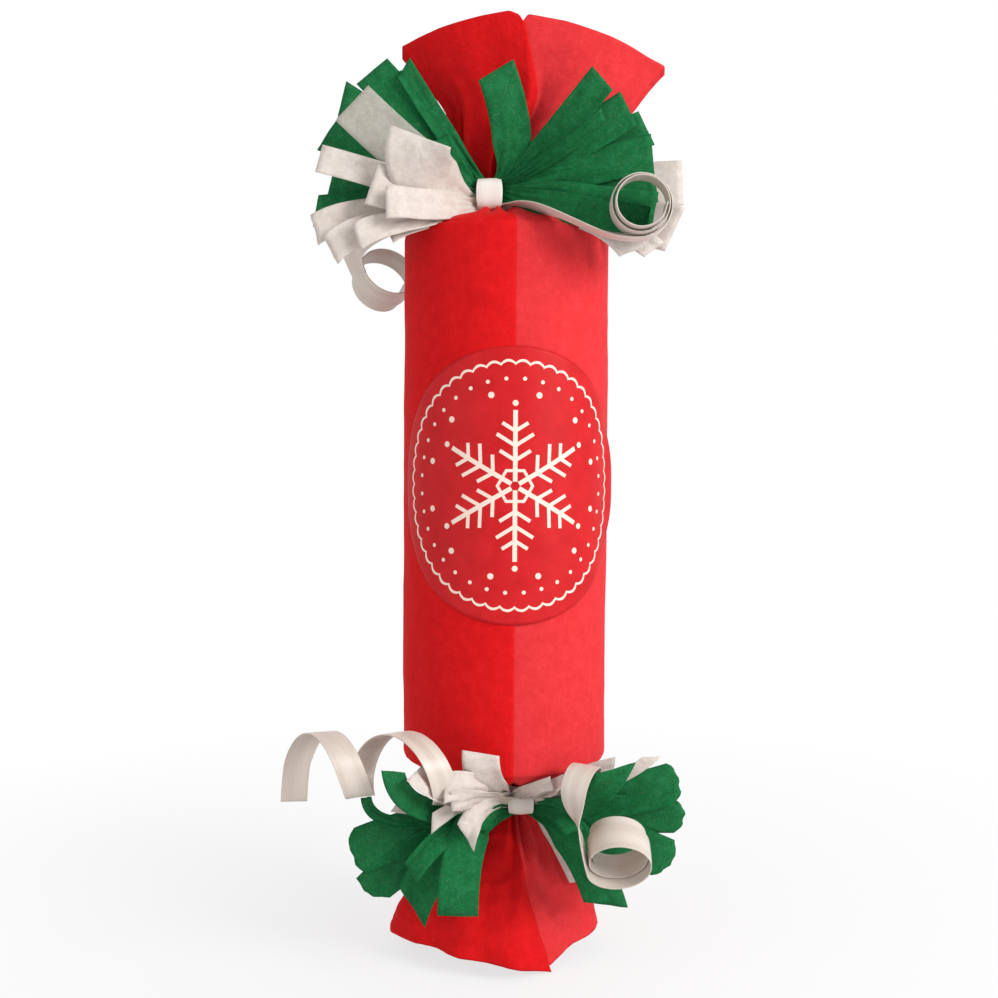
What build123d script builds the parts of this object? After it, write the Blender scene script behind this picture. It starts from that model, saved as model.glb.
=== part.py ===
"""Christmas cracker, standing on its lower skirt: a wrapped card barrel with two tied tissue ends and what they hide."""
import math
import os

from build123d import *

os.makedirs("parts", exist_ok=True)

# Barrel, in millimetres: a six inch card tube
tube_length = 152.4
tube_od = 59.0
tube_wall = 1.8
rim_bevel = 0.6

# Tissue, ribbon and snap card
wrap_wall = 0.4
wrap_gap = 0.1
lap_arc = 50.0
lap_turn = 5.0
front_turn = 270.0
lap_wall = 0.25
sheet_wall = 0.6
strip_wall = 0.35
ribbon_width = 7.4
ribbon_wall = 0.4
snap_width = 7.0
snap_wall = 0.4
fit_gap = 0.3
close_gap = 0.15

# Heights of the two tied ends
skirt_drop = 40.8
neck_length = 8.0
lower_shoulder = 7.0
upper_shoulder = 5.3
frill_rise = 47.3
shoulder_inset = 1.0

# Tied necks
neck_radius = 8.0
fold_share = 0.13
neck_shift = 2.0
fold_count = 11
shoulder_share = 0.01
band_height = 7.0

# Skirt rim and frill rim
skirt_width = 62.6
skirt_shift = -3.0
left_slope = 30.0
right_slope = 62.0
frill_width = 78.0
frill_depth = 28.0
frill_shift = 7.5

# Label: a three inch round sticker
label_diameter = 76.2
label_wall = 0.2
label_turn = 5.0
label_rise = 4.2

# Knots over the tassels
knot_shift = 5.0
waist_depth = 4.5
upper_waist = 3.4
lower_waist = 2.1
waist_reach = 2.4
root_width = 2.0
strip_length = 50.0
strip_width = 11.0

# What is inside
crown_radius = 7.5
crown_length = 65.0
crown_band = 12.0
slip_radius = 3.4
slip_length = 50.0
roll_sides = 12
sweet_radius = 7.0
sweet_length = 40.0
sweet_sides = 10
die_size = 10.5
die_bevel = 1.2
pip_radius = 0.9
pip_depth = 0.4
pip_pitch = 2.6
top_height = 26.0
top_sides = 10
snap_overlap = 40.0
snap_band_length = 12.0
first_turn = 135.0

# Levels and radii that follow from these
tube_radius = tube_od / 2
bore_radius = tube_radius - tube_wall
wrap_radius = tube_radius + wrap_gap + wrap_wall
lower_neck_bottom = skirt_drop
lower_neck_top = lower_neck_bottom + neck_length
lower_neck = lower_neck_bottom + neck_length / 2
lower_edge = lower_neck_top + lower_shoulder
tube_bottom = lower_edge + fit_gap + wrap_wall + wrap_gap
tube_top = tube_bottom + tube_length
upper_edge = tube_top + wrap_gap + wrap_wall + fit_gap
upper_neck_bottom = upper_edge + upper_shoulder
upper_neck_top = upper_neck_bottom + neck_length
upper_neck = upper_neck_bottom + neck_length / 2
frill_top = upper_neck_top + frill_rise
shoulder_radius = wrap_radius - shoulder_inset
label_height = (tube_bottom + tube_top) / 2 + label_rise
tie_inner = neck_radius + close_gap
tie_outer = tie_inner + ribbon_wall
knot_back = tie_outer + fit_gap
waist_y = -(knot_back + close_gap + waist_depth / 2)
knot_front = -(knot_back + waist_depth + 2 * close_gap + ribbon_wall)


# A closed zigzag of folds on an oval, one level of a gathered sheet
def fold_ring(z, cx, rx, ry, fold, shrink=0.0):
    points = []
    for i in range(2 * fold_count):
        angle = math.pi * i / fold_count
        share = 1 - fold * (i % 2)
        points.append((cx + (rx - shrink) * share * math.cos(angle), (ry - shrink) * share * math.sin(angle), z))
    return points


# A regular polygon, one level of a faceted piece
def facet_ring(x, y, z, radius, sides):
    return [
        (x + radius * math.cos(2 * math.pi * i / sides), y + radius * math.sin(2 * math.pi * i / sides), z)
        for i in range(sides)
    ]


# A solid with flat creased faces from one level to the next and a flat face on both ends
def creased(rings):
    faces = [Face(Wire.make_polygon(rings[0])), Face(Wire.make_polygon(rings[-1]))]
    for low, high in zip(rings, rings[1:]):
        for i in range(len(low)):
            j = (i + 1) % len(low)
            faces.append(Face(Wire.make_polygon([low[i], low[j], high[j]])))
            faces.append(Face(Wire.make_polygon([low[i], high[j], high[i]])))
    return Solid(Shell(faces))


# Barrel tube
with BuildPart(Plane.XY.offset(tube_bottom)) as barrel_tube:
    Cylinder(tube_radius, tube_length, align=(Align.CENTER, Align.CENTER, Align.MIN))
    chamfer(barrel_tube.edges().filter_by(GeomType.CIRCLE), rim_bevel)
    Cylinder(bore_radius, tube_length, align=(Align.CENTER, Align.CENTER, Align.MIN), mode=Mode.SUBTRACT)
barrel_tube.part.label = "barrel_tube"
export_step(barrel_tube.part, "parts/barrel_tube.step")

# Wrap: one turn of tissue with lips turned over both rims and a lap on the left of the front edge
lip_low = tube_bottom - wrap_gap - wrap_wall / 2
lip_high = tube_top + wrap_gap + wrap_wall / 2
lip_radius = bore_radius + fit_gap
wrap_middle = wrap_radius - wrap_wall / 2
lap_end = front_turn + lap_turn
with BuildPart() as wrapper_sleeve:
    with BuildSketch(Plane.XZ):
        with BuildLine():
            Polyline((lip_radius, lip_low), (wrap_middle, lip_low), (wrap_middle, lip_high), (lip_radius, lip_high))
        trace(line_width=wrap_wall)
    revolve(axis=Axis.Z)
    with BuildSketch(Plane.XY.offset(tube_bottom + rim_bevel)):
        with BuildLine():
            outer = CenterArc((0, 0), wrap_radius + lap_wall, lap_end - lap_arc, lap_arc)
            inner = CenterArc((0, 0), wrap_radius - wrap_wall / 2, lap_end - lap_arc, lap_arc)
            Line(outer @ 0, inner @ 0)
            Line(outer @ 1, inner @ 1)
        make_face()
    extrude(amount=tube_length - 2 * rim_bevel)
wrapper_sleeve.part.label = "wrapper_sleeve"
export_step(wrapper_sleeve.part, "parts/wrapper_sleeve.step")

# Label: a disc rolled onto the wrap, over the lap
label_inner = wrap_radius + lap_wall + close_gap
label_points = []
for i in range(24):
    angle = 2 * math.pi * i / 24
    across = label_diameter / 2 * math.cos(angle) / label_inner
    label_points.append((label_inner * math.sin(across), label_diameter / 2 * math.sin(angle)))
label_plane = Plane(
    origin=(0, 0, label_height),
    x_dir=(math.cos(math.radians(label_turn)), math.sin(math.radians(label_turn)), 0),
    z_dir=(math.sin(math.radians(label_turn)), -math.cos(math.radians(label_turn)), 0),
)
with BuildPart() as label_sticker:
    with BuildSketch(Plane.XY.offset(label_height)):
        Circle(label_inner + label_wall)
        Circle(label_inner, mode=Mode.SUBTRACT)
    extrude(amount=label_diameter, both=True)
    with BuildSketch(label_plane):
        with BuildLine():
            Spline(*label_points, periodic=True)
        make_face()
    extrude(amount=tube_od, mode=Mode.INTERSECT)
label_sticker.part.label = "label_sticker"
export_step(label_sticker.part, "parts/label_sticker.step")

# Upper frill: shoulder, gathered neck and the fan above, its rim cut in two lobes
upper_levels = [
    (upper_edge, 0.0, shoulder_radius, shoulder_radius, shoulder_share),
    (upper_neck_bottom, -neck_shift, neck_radius, neck_radius, fold_share),
    (upper_neck_top, -neck_shift, neck_radius, neck_radius, fold_share),
    (upper_neck_top + frill_rise * 0.25, frill_shift * 0.25, frill_width * 0.25, frill_depth * 0.357, 0.165),
    (upper_neck_top + frill_rise * 0.5, frill_shift * 1.03, frill_width * 0.367, frill_depth * 0.4, 0.063),
    (upper_neck_top + frill_rise * 0.75, frill_shift * 1.09, frill_width * 0.455, frill_depth * 0.446, 0.034),
    (frill_top, frill_shift, frill_width / 2, frill_depth / 2, 0.026),
]
shoulder_drop = sheet_wall * 1.2
with BuildPart() as upper_frill:
    add(creased([fold_ring(*level) for level in upper_levels]))
    add(creased([fold_ring(*level, shrink=sheet_wall) for level in upper_levels[2:]]), mode=Mode.SUBTRACT)
    hollow = [(z - shoulder_drop, cx, rx, ry, fold) for z, cx, rx, ry, fold in upper_levels[:2]]
    add(creased([fold_ring(*level) for level in hollow]), mode=Mode.SUBTRACT)
    with BuildSketch(Plane.XZ):
        with BuildLine():
            left = frill_shift - frill_width / 2
            right = frill_shift + frill_width / 2
            notch = frill_shift * 0.56
            lobe = ThreePointArc(
                (left, frill_top - 7.5), (notch - 20.0, frill_top - 2.5), (notch - 2.5, frill_top - 0.5)
            )
            Polyline(lobe @ 1, (notch, frill_top - 3.4), (notch + 1.4, frill_top - 0.8))
            ThreePointArc(
                (notch + 1.4, frill_top - 0.8), (notch + 24.0, frill_top - 5.4), (right, frill_top - 11.4)
            )
            Polyline((right, frill_top - 11.4), (right, frill_top + 1.0), (left, frill_top + 1.0), lobe @ 0)
        make_face()
    extrude(amount=frill_depth, both=True, mode=Mode.SUBTRACT)
    with Locations((0, 0, upper_neck)):
        Box(snap_width + 2 * close_gap, snap_wall + 2 * close_gap, 3 * neck_length, mode=Mode.SUBTRACT)
upper_frill.part.label = "upper_frill"
export_step(upper_frill.part, "parts/upper_frill.step")

# Lower skirt: shoulder, gathered neck and the skirt it stands on, lifted at the front left and front right
lower_levels = [
    (lower_edge, 0.0, shoulder_radius, shoulder_radius, shoulder_share),
    (lower_neck_top, neck_shift, neck_radius, neck_radius, fold_share),
    (lower_neck_bottom, neck_shift, neck_radius, neck_radius, fold_share),
    (skirt_drop * 0.85, skirt_shift * -0.57, skirt_width * 0.222, skirt_width * 0.222, 0.3),
    (skirt_drop * 0.7, skirt_shift * -0.31, skirt_width * 0.297, skirt_width * 0.297, 0.17),
    (skirt_drop * 0.5, skirt_shift * 0.17, skirt_width * 0.382, skirt_width * 0.382, 0.084),
    (skirt_drop * 0.25, skirt_shift * 0.74, skirt_width * 0.463, skirt_width * 0.463, 0.062),
    (0.0, skirt_shift, skirt_width / 2, skirt_width / 2, 0.058),
]


# A sloping cut that lifts the rim beyond the chord between two turns of the skirt
def lift_plane(first, last, slope):
    rim = skirt_width / 2
    x0, y0 = skirt_shift + rim * math.cos(math.radians(first)), rim * math.sin(math.radians(first))
    x1, y1 = skirt_shift + rim * math.cos(math.radians(last)), rim * math.sin(math.radians(last))
    middle = math.radians((first + last) / 2)
    lean = math.sin(math.radians(slope))
    return Plane(
        origin=(x0, y0, 0),
        x_dir=(x1 - x0, y1 - y0, 0),
        z_dir=(-math.cos(middle) * lean, -math.sin(middle) * lean, math.cos(math.radians(slope))),
    )


with BuildPart() as lower_skirt:
    add(creased([fold_ring(*level) for level in lower_levels]))
    add(creased([fold_ring(*level, shrink=sheet_wall) for level in lower_levels[2:]]), mode=Mode.SUBTRACT)
    hollow = [(z + shoulder_drop, cx, rx, ry, fold) for z, cx, rx, ry, fold in lower_levels[:2]]
    add(creased([fold_ring(*level) for level in hollow]), mode=Mode.SUBTRACT)
    split(bisect_by=lift_plane(186.0, 285.0, left_slope), keep=Keep.TOP)
    split(bisect_by=lift_plane(305.0, 354.0, right_slope), keep=Keep.TOP)
    with Locations((0, 0, lower_neck)):
        Box(snap_width + 2 * close_gap, snap_wall + 2 * close_gap, 3 * neck_length, mode=Mode.SUBTRACT)
lower_skirt.part.label = "lower_skirt"
export_step(lower_skirt.part, "parts/lower_skirt.step")


# A ribbon round the neck with an upright band in front that pinches the tassel
def ribbon_tie(neck_x, knot_x, z, waist):
    loop_height = 2 * waist + 4 * close_gap
    loop_depth = waist_depth + 2 * close_gap
    side = Plane(origin=(knot_x, waist_y, z), x_dir=(0, 1, 0), z_dir=(1, 0, 0))
    with BuildPart() as tie:
        with Locations((neck_x, 0, z)):
            Cylinder(tie_outer, band_height)
            Cylinder(tie_inner, band_height, mode=Mode.SUBTRACT)
        with BuildSketch(side):
            loop = Rectangle(loop_depth + 2 * ribbon_wall, loop_height + 2 * ribbon_wall)
            chamfer(loop.vertices(), ribbon_wall)
            Rectangle(loop_depth, loop_height, mode=Mode.SUBTRACT)
        extrude(amount=ribbon_width / 2, both=True)
        with Locations((knot_x - math.copysign(ribbon_width / 4, knot_x), -(tie_outer + knot_back) / 2, z)):
            Box(ribbon_width / 2, fit_gap + 3 * ribbon_wall, band_height * 0.8)
        with Locations((neck_x, 0, z)):
            Cylinder(tie_inner, band_height, mode=Mode.SUBTRACT)
        with Locations((knot_x, waist_y, z)):
            Box(2 * ribbon_width, loop_depth, loop_height, mode=Mode.SUBTRACT)
    return tie.part


upper_tie = ribbon_tie(-neck_shift, -knot_shift, upper_neck, upper_waist)
upper_tie.label = "upper_ribbon_tie"
export_step(upper_tie, "parts/upper_ribbon_tie.step")

lower_tie = ribbon_tie(neck_shift, knot_shift, lower_neck, lower_waist)
lower_tie.label = "lower_ribbon_tie"
export_step(lower_tie, "parts/lower_ribbon_tie.step")


# One tissue strip: it leaves the knot at an angle, lifts to the front, rolls on its own length and bends twice
def tissue_strip(root, angle, lift, roll, length_share, straight, turn, width_share):
    length = strip_length * length_share
    width = strip_width * width_share
    along = Vector(math.cos(math.radians(angle)), 0, math.sin(math.radians(angle)))
    face = Vector(0, -1, 0)
    across = face.cross(along)
    along, face = along.rotate(Axis((0, 0, 0), across), -lift), face.rotate(Axis((0, 0, 0), across), -lift)
    face = face.rotate(Axis((0, 0, 0), along), roll)
    side = Plane(origin=root, x_dir=along, z_dir=along.cross(face))
    front = Plane(origin=root, x_dir=along, z_dir=face)
    bend = length * (1 - straight) / 2
    with BuildPart() as strip:
        with BuildSketch(side):
            with BuildLine():
                run = Line((0, 0), (length * straight, 0))
                half = PolarLine(run @ 1, bend, angle=turn / 2)
                PolarLine(half @ 1, bend, angle=turn)
            trace(line_width=strip_wall)
        extrude(amount=width / 2, both=True)
        with BuildSketch(front):
            with BuildLine():
                Polyline(
                    (0, -root_width / 2),
                    (length * 0.45, -width / 2),
                    (length * 1.05, -width / 2),
                    (length * 1.05, width / 2),
                    (length * 0.45, width / 2),
                    (0, root_width / 2),
                    close=True,
                )
            make_face()
        extrude(amount=length, both=True, mode=Mode.INTERSECT)
    return strip.part


# Tassels: strips joined at a pinched waist under the ribbon band
def tassel(knot_x, z, waist, strips):
    with BuildPart() as bundle:
        with Locations((knot_x, waist_y, z)):
            Box(ribbon_width + 2 * waist_reach, waist_depth, waist)
        for strip in strips:
            side = math.copysign(ribbon_width / 2 + 0.75 * waist_reach, math.cos(math.radians(strip[0])))
            add(tissue_strip((knot_x + side, waist_y, z), *strip))
    return bundle.part


# Angle, lift, roll, length share, straight share, turn, width share
upper_green_strips = [
    (96, 17, 0, 0.68, 0.4, -8, 1.0),
    (48, 20, -6, 0.83, 0.4, -8, 0.8),
    (35, 27, 30, 0.73, 0.4, 6, 0.5),
    (32, 17, -8, 0.83, 0.4, -8, 0.95),
    (22, 15, 6, 0.87, 0.4, -8, 0.95),
    (12, 16, -8, 0.86, 0.4, -8, 0.95),
    (1, 16, 7, 0.86, 0.4, -6, 1.0),
    (-9, 12, -6, 0.87, 0.4, 10, 0.95),
    (118, 12, 8, 0.78, 0.4, -8, 0.55),
    (130, 10, -5, 0.87, 0.4, -8, 1.0),
    (145, 8, 6, 0.88, 0.4, -8, 1.0),
    (159, 8, -5, 0.87, 0.4, -8, 0.9),
    (178, 7, -6, 0.8, 0.4, -6, 0.7),
    (188, 10, 5, 0.88, 0.4, 4, 0.8),
]
upper_white_strips = [
    (-3, -8, 78, 1.06, 0.65, 30, 0.82),
    (-4, 34, 74, 0.6, 0.65, 40, 0.82),
    (183, -8, -78, 1.0, 0.6, 35, 0.9),
    (184, 34, -74, 0.9, 0.6, 42, 0.9),
    (172, 34, -10, 0.66, 0.5, -14, 1.1),
    (144, 38, -8, 0.7, 0.5, -10, 0.9),
    (141, 20, 4, 0.86, 0.4, -8, 1.2),
    (166, 20, 8, 0.88, 0.4, -8, 0.75),
]
lower_green_strips = [
    (3, 22, 0, 0.9, 0.4, -15, 0.82),
    (-11, 20, 6, 0.94, 0.4, 10, 1.0),
    (-25, 20, -6, 0.94, 0.4, -10, 1.0),
    (-40, 24, 6, 0.88, 0.4, 8, 1.0),
    (-54, 30, 0, 0.68, 0.4, -8, 1.0),
    (178, 22, 0, 0.86, 0.4, -15, 0.82),
    (193, 20, -6, 0.94, 0.4, 10, 1.0),
    (208, 20, 6, 0.94, 0.4, -10, 1.0),
    (224, 26, -6, 0.84, 0.4, 8, 1.0),
    (242, 44, 0, 0.74, 0.4, -6, 1.0),
]
lower_white_strips = [
    (17, 14, 64, 0.76, 0.5, 20, 0.64),
    (33, 30, 70, 0.56, 0.5, -20, 0.73),
    (163, 28, -70, 0.54, 0.5, 20, 0.82),
    (147, 46, -62, 0.4, 0.5, 20, 0.73),
]
upper_step = upper_waist / 2 + close_gap
lower_step = lower_waist / 2 + close_gap

upper_green = tassel(-knot_shift, upper_neck + upper_step, upper_waist, upper_green_strips)
upper_green.label = "upper_green_tassel"
export_step(upper_green, "parts/upper_green_tassel.step")

upper_white = tassel(-knot_shift, upper_neck - upper_step, upper_waist, upper_white_strips)
upper_white.label = "upper_white_tassel"
export_step(upper_white, "parts/upper_white_tassel.step")

lower_green = tassel(knot_shift, lower_neck - lower_step, lower_waist, lower_green_strips)
lower_green.label = "lower_green_tassel"
export_step(lower_green, "parts/lower_green_tassel.step")

lower_white = tassel(knot_shift, lower_neck + lower_step, lower_waist, lower_white_strips)
lower_white.label = "lower_white_tassel"
export_step(lower_white, "parts/lower_white_tassel.step")


# Quarter turns of a coil: its points and tangents from centre, axis, start angle, turns, radii and pitch
def coil_nodes(centre, axis, zero, start, turns, radius, end_radius, pitch):
    axis = Vector(*axis).normalized()
    zero = Vector(*zero)
    zero = (zero - axis * zero.dot(axis)).normalized()
    quarter = axis.cross(zero)
    nodes = []
    steps = round(abs(turns) * 4)
    for i in range(steps + 1):
        share = i / steps
        angle = math.radians(start) + 2 * math.pi * turns * share
        reach = radius + (end_radius - radius) * share
        arm = zero * math.cos(angle) + quarter * math.sin(angle)
        swing = (quarter * math.cos(angle) - zero * math.sin(angle)) * math.copysign(1.0, turns)
        point = Vector(*centre) + axis * (pitch * abs(turns) * share) + arm * reach
        slope = pitch / (2 * math.pi * reach)
        grow = (end_radius - radius) / (2 * math.pi * abs(turns) * reach)
        nodes.append((point, (swing + axis * slope + arm * grow).normalized()))
    return nodes


# Two arcs that leave one point and reach the next along the given tangents
def biarc_joint(p0, t0, p1, t1):
    gap = p1 - p0
    spread = t0 + t1
    a = spread.dot(spread) - 4
    b = gap.dot(spread)
    c = gap.dot(gap)
    reach = c / (4 * gap.dot(t1)) if abs(a) < 1e-9 and abs(b) < 1e-9 else 0.0
    if reach == 0.0:
        reach = c / (2 * b) if abs(a) < 1e-9 else (b - math.sqrt(b * b - a * c)) / a
    return (p0 + t0 * reach + p1 - t1 * reach) / 2


# Least gap between parts of one curl that are more than a third of a turn apart
def least_gap(path, wide):
    steps = 160
    points = [path @ (i / steps) for i in range(steps + 1)]
    rails = [[p + wide * (s * ribbon_width / 2) for s in (-1.0, -0.5, 0.0, 0.5, 1.0)] for p in points]
    apart = max(4, int(steps * 16.0 / path.length))
    least = 1e9
    for i in range(steps + 1):
        for j in range(i + apart, steps + 1):
            for p in rails[i]:
                for q in rails[j]:
                    least = min(least, (p - q).length)
    return least - ribbon_wall


# A flat ribbon swept along its leads and its coil, its width turned toward a copy of the path set to one side
def ribbon_curl(nodes, wide):
    wide = Vector(*wide).normalized()
    with BuildPart() as curl:
        with BuildLine() as path:
            for (p0, t0), (p1, t1) in zip(nodes, nodes[1:]):
                middle = biarc_joint(p0, t0, p1, t1)
                first = TangentArc(p0, middle, tangent=t0)
                TangentArc(middle, p1, tangent=first % 1)
        wire = path.wires()[0]
        start, tangent = nodes[0]
        with BuildSketch(Plane(origin=start, x_dir=wide, z_dir=tangent - wide * wide.dot(tangent))):
            Rectangle(ribbon_width, ribbon_wall)
        sweep(path=wire, binormal=wire.moved(Location(wide * ribbon_width)))
    print("ribbon length", round(wire.length, 1), "least gap to itself", round(least_gap(wire, wide), 2))
    return curl.part


# Leads run from the knots; each curl ends in its coil
knot_edge = ribbon_width / 2
lead_y = knot_front - ribbon_width / 2 - 2 * fit_gap


# A point with the direction the ribbon takes through it
def node(x, y, z, tx, ty, tz):
    return (Vector(x, y, z), Vector(tx, ty, tz).normalized())


upper_right_nodes = [node(-knot_shift + knot_edge, lead_y, upper_neck - 2.0, 0.75, -0.6, -0.3)]
upper_right_nodes += [node(12.0, -32.5, upper_neck - 7.9, 0.88, -0.12, -0.4)]
upper_right_nodes += coil_nodes((35.4, -34.0, upper_neck - 7.2), (0, -1, 0), (-1, 0, 0), 90, 2.25, 8.5, 6.3, 1.2)
upper_right = ribbon_curl(upper_right_nodes, (0, -1, 0))
upper_right.label = "upper_right_curl"
export_step(upper_right, "parts/upper_right_curl.step")

left_lean = (-0.42, 0.78, -0.46)
upper_left_nodes = [node(-knot_shift - 0.8 * knot_edge, lead_y + 4 * fit_gap, upper_neck - 2.0, -0.75, -0.6, -0.2)]
upper_left_nodes += [node(-20.0, -27.0, upper_neck - 6.6, -0.93, 0.15, -0.3)]
upper_left_nodes += [node(-36.0, -16.0, upper_neck - 11.1, -0.6, 0.78, -0.15)]
upper_left_nodes += coil_nodes((-36.9, 15.0, upper_neck - 18.4), left_lean, (0, 0, 1), -90, -1.5, 9.3, 7.9, 4.2)
upper_left = ribbon_curl(upper_left_nodes, left_lean)
upper_left.label = "upper_left_curl"
export_step(upper_left, "parts/upper_left_curl.step")

lower_left_nodes = [node(knot_shift - knot_edge, knot_front - 2 * fit_gap, lower_neck - 1.0, -0.3, -0.95, 0.05)]
lower_left_nodes += coil_nodes((-12.8, -39.0, lower_neck + 18.4), (-1, 0, 0), (0, 0, -1), 0, 2.0, 8.4, 8.2, 22.5)
lower_left = ribbon_curl(lower_left_nodes, (-1, 0, 0))
lower_left.label = "lower_left_curl"
export_step(lower_left, "parts/lower_left_curl.step")

right_lean = (0, -0.55, -0.83)
lower_right_nodes = [node(knot_shift + knot_edge, knot_front - 0.36 * ribbon_width, lower_neck, 0.75, -0.65, 0.1)]
lower_right_nodes += [node(18.5, -26.0, lower_neck + 4.2, 0.45, -0.35, 0.82)]
lower_right_nodes += [node(23.0, -30.5, lower_neck + 14.2, -0.1, -0.9, 0.3)]
lower_right_nodes += [node(17.5, -37.0, lower_neck + 6.0, -0.1, -0.1, -0.98)]
lower_right_nodes += coil_nodes((31.3, -39.0, lower_neck - 9.5), right_lean, (-1, 0, 0), 0, 2.0, 8.6, 7.6, -8.3)
lower_right = ribbon_curl(lower_right_nodes, right_lean)
lower_right.label = "lower_right_curl"
export_step(lower_right, "parts/lower_right_curl.step")

# Snap: two card strips face to face on the back wall, each held in a neck, and a paper band round the overlap
snap_edge = math.sqrt(bore_radius**2 - (snap_width / 2 + wrap_wall + close_gap) ** 2)
upper_snap_y = snap_edge - fit_gap - wrap_wall - close_gap - snap_wall / 2
lower_snap_y = upper_snap_y - snap_wall - fit_gap
snap_middle = (tube_bottom + tube_top) / 2
bend_radius = 4.0


# A card strip from a neck, under the shoulder, to the back wall and along it
def snap_strip(y, neck_end, neck_mouth, wall_start, wall_end):
    with BuildPart() as strip:
        with BuildSketch(Plane.YZ):
            with BuildLine():
                FilletPolyline((0, neck_end), (0, neck_mouth), (y, wall_start), (y, wall_end), radius=bend_radius)
            trace(line_width=snap_wall)
        extrude(amount=snap_width / 2, both=True)
    return strip.part


upper_snap = snap_strip(
    upper_snap_y, upper_neck_top, upper_neck_bottom - 3.5, upper_edge - 8.0, snap_middle - snap_overlap / 2
)
upper_snap.label = "upper_snap_strip"
export_step(upper_snap, "parts/upper_snap_strip.step")

lower_snap = snap_strip(
    lower_snap_y, lower_neck_bottom, lower_neck_top + 3.5, lower_edge + 6.0, snap_middle + snap_overlap / 2
)
lower_snap.label = "lower_snap_strip"
export_step(lower_snap, "parts/lower_snap_strip.step")

band_inner = 2 * snap_wall + fit_gap + 2 * close_gap
with BuildPart() as snap_band:
    with Locations((0, (upper_snap_y + lower_snap_y) / 2, snap_middle)):
        Box(snap_width + 2 * close_gap + 2 * wrap_wall, band_inner + 2 * wrap_wall, snap_band_length)
        Box(snap_width + 2 * close_gap, band_inner, snap_band_length, mode=Mode.SUBTRACT)
snap_band.part.label = "snap_band"
export_step(snap_band.part, "parts/snap_band.step")

# Contents stand round the bore on the lower shoulder, each beside the last
funnel_rise = lower_shoulder / (shoulder_radius - neck_radius)


# Height of the shoulder's inner face at a distance from the axis, on its highest fold
def funnel(radius):
    reach = radius + shoulder_radius * shoulder_share
    reach += (neck_shift + neck_radius * fold_share) * (shoulder_radius - radius) / (shoulder_radius - neck_radius)
    return lower_neck_top + (reach - neck_radius) * funnel_rise + shoulder_drop


die_reach = (die_size / 2 - die_bevel / 2) * math.sqrt(2)
order = [die_reach, crown_radius, sweet_radius, sweet_radius, sweet_radius, slip_radius]
places = []
turn = math.radians(first_turn)
for i, radius in enumerate(order):
    ring = bore_radius - radius - fit_gap
    if i > 0:
        before = bore_radius - order[i - 1] - fit_gap
        apart = order[i - 1] + radius + fit_gap
        turn += math.acos((ring**2 + before**2 - apart**2) / (2 * ring * before))
    places.append((ring * math.cos(turn), ring * math.sin(turn)))
seat = funnel(bore_radius) + fit_gap

# Wooden die, its pips drilled one to six
pips = {
    1: [(0, 0)],
    2: [(-1, -1), (1, 1)],
    3: [(-1, -1), (0, 0), (1, 1)],
    4: [(-1, -1), (-1, 1), (1, -1), (1, 1)],
    5: [(-1, -1), (-1, 1), (0, 0), (1, -1), (1, 1)],
    6: [(-1, -1), (-1, 0), (-1, 1), (1, -1), (1, 0), (1, 1)],
}
die_centre = Vector(places[0][0], places[0][1], seat + die_size / 2)
die_faces = {1: (0, 0, 1), 2: (1, 0, 0), 3: (0, 1, 0), 4: (0, -1, 0), 5: (-1, 0, 0), 6: (0, 0, -1)}
with BuildPart() as wooden_die:
    with Locations(die_centre):
        Box(die_size, die_size, die_size)
    chamfer(wooden_die.edges(), die_bevel)
    for count, normal in die_faces.items():
        with BuildSketch(Plane(origin=die_centre + Vector(*normal) * (die_size / 2), z_dir=normal)):
            with Locations(*[(x * pip_pitch, y * pip_pitch) for x, y in pips[count]]):
                RegularPolygon(pip_radius, 6)
        extrude(amount=-pip_depth, mode=Mode.SUBTRACT)
wooden_die.part.label = "wooden_die"
export_step(wooden_die.part, "parts/wooden_die.step")

# Paper crown, rolled, with a paper band round its middle
with BuildPart() as paper_crown:
    with BuildSketch(Plane((places[1][0], places[1][1], seat))):
        RegularPolygon(crown_radius - wrap_wall - close_gap, roll_sides)
        RegularPolygon(crown_radius * 0.35, roll_sides, mode=Mode.SUBTRACT)
    extrude(amount=crown_length)
paper_crown.part.label = "paper_crown"
export_step(paper_crown.part, "parts/paper_crown.step")

with BuildPart() as crown_wrap:
    with BuildSketch(Plane((places[1][0], places[1][1], seat + (crown_length - crown_band) / 2))):
        RegularPolygon(crown_radius, roll_sides)
        RegularPolygon(crown_radius - wrap_wall, roll_sides, mode=Mode.SUBTRACT)
    extrude(amount=crown_band)
crown_wrap.part.label = "crown_band"
export_step(crown_wrap.part, "parts/crown_band.step")


# A twist-wrapped sweet on end: its share of the half length and of the radius, from the middle to a tail
sweet_profile = [(0.2, 1.0), (0.4, 0.8), (0.52, 0.3), (0.62, 0.3), (1.0, 0.9)]


def sweet(place):
    half = sweet_length / 2
    levels = [(-rise, share) for rise, share in reversed(sweet_profile)] + sweet_profile
    rings = [
        facet_ring(place[0], place[1], seat + half * (1 + rise), sweet_radius * share, sweet_sides)
        for rise, share in levels
    ]
    with BuildPart() as wrapped:
        add(creased(rings))
    return wrapped.part


for i in range(3):
    wrapped_sweet = sweet(places[2 + i])
    wrapped_sweet.label = f"sweet_{i + 1}"
    export_step(wrapped_sweet, f"parts/sweet_{i + 1}.step")

# Rolled slip with a riddle
with BuildPart() as motto_slip:
    with BuildSketch(Plane((places[5][0], places[5][1], seat))):
        RegularPolygon(slip_radius, roll_sides)
        RegularPolygon(slip_radius * 0.4, roll_sides, mode=Mode.SUBTRACT)
    extrude(amount=slip_length)
motto_slip.part.label = "motto_slip"
export_step(motto_slip.part, "parts/motto_slip.step")

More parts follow.
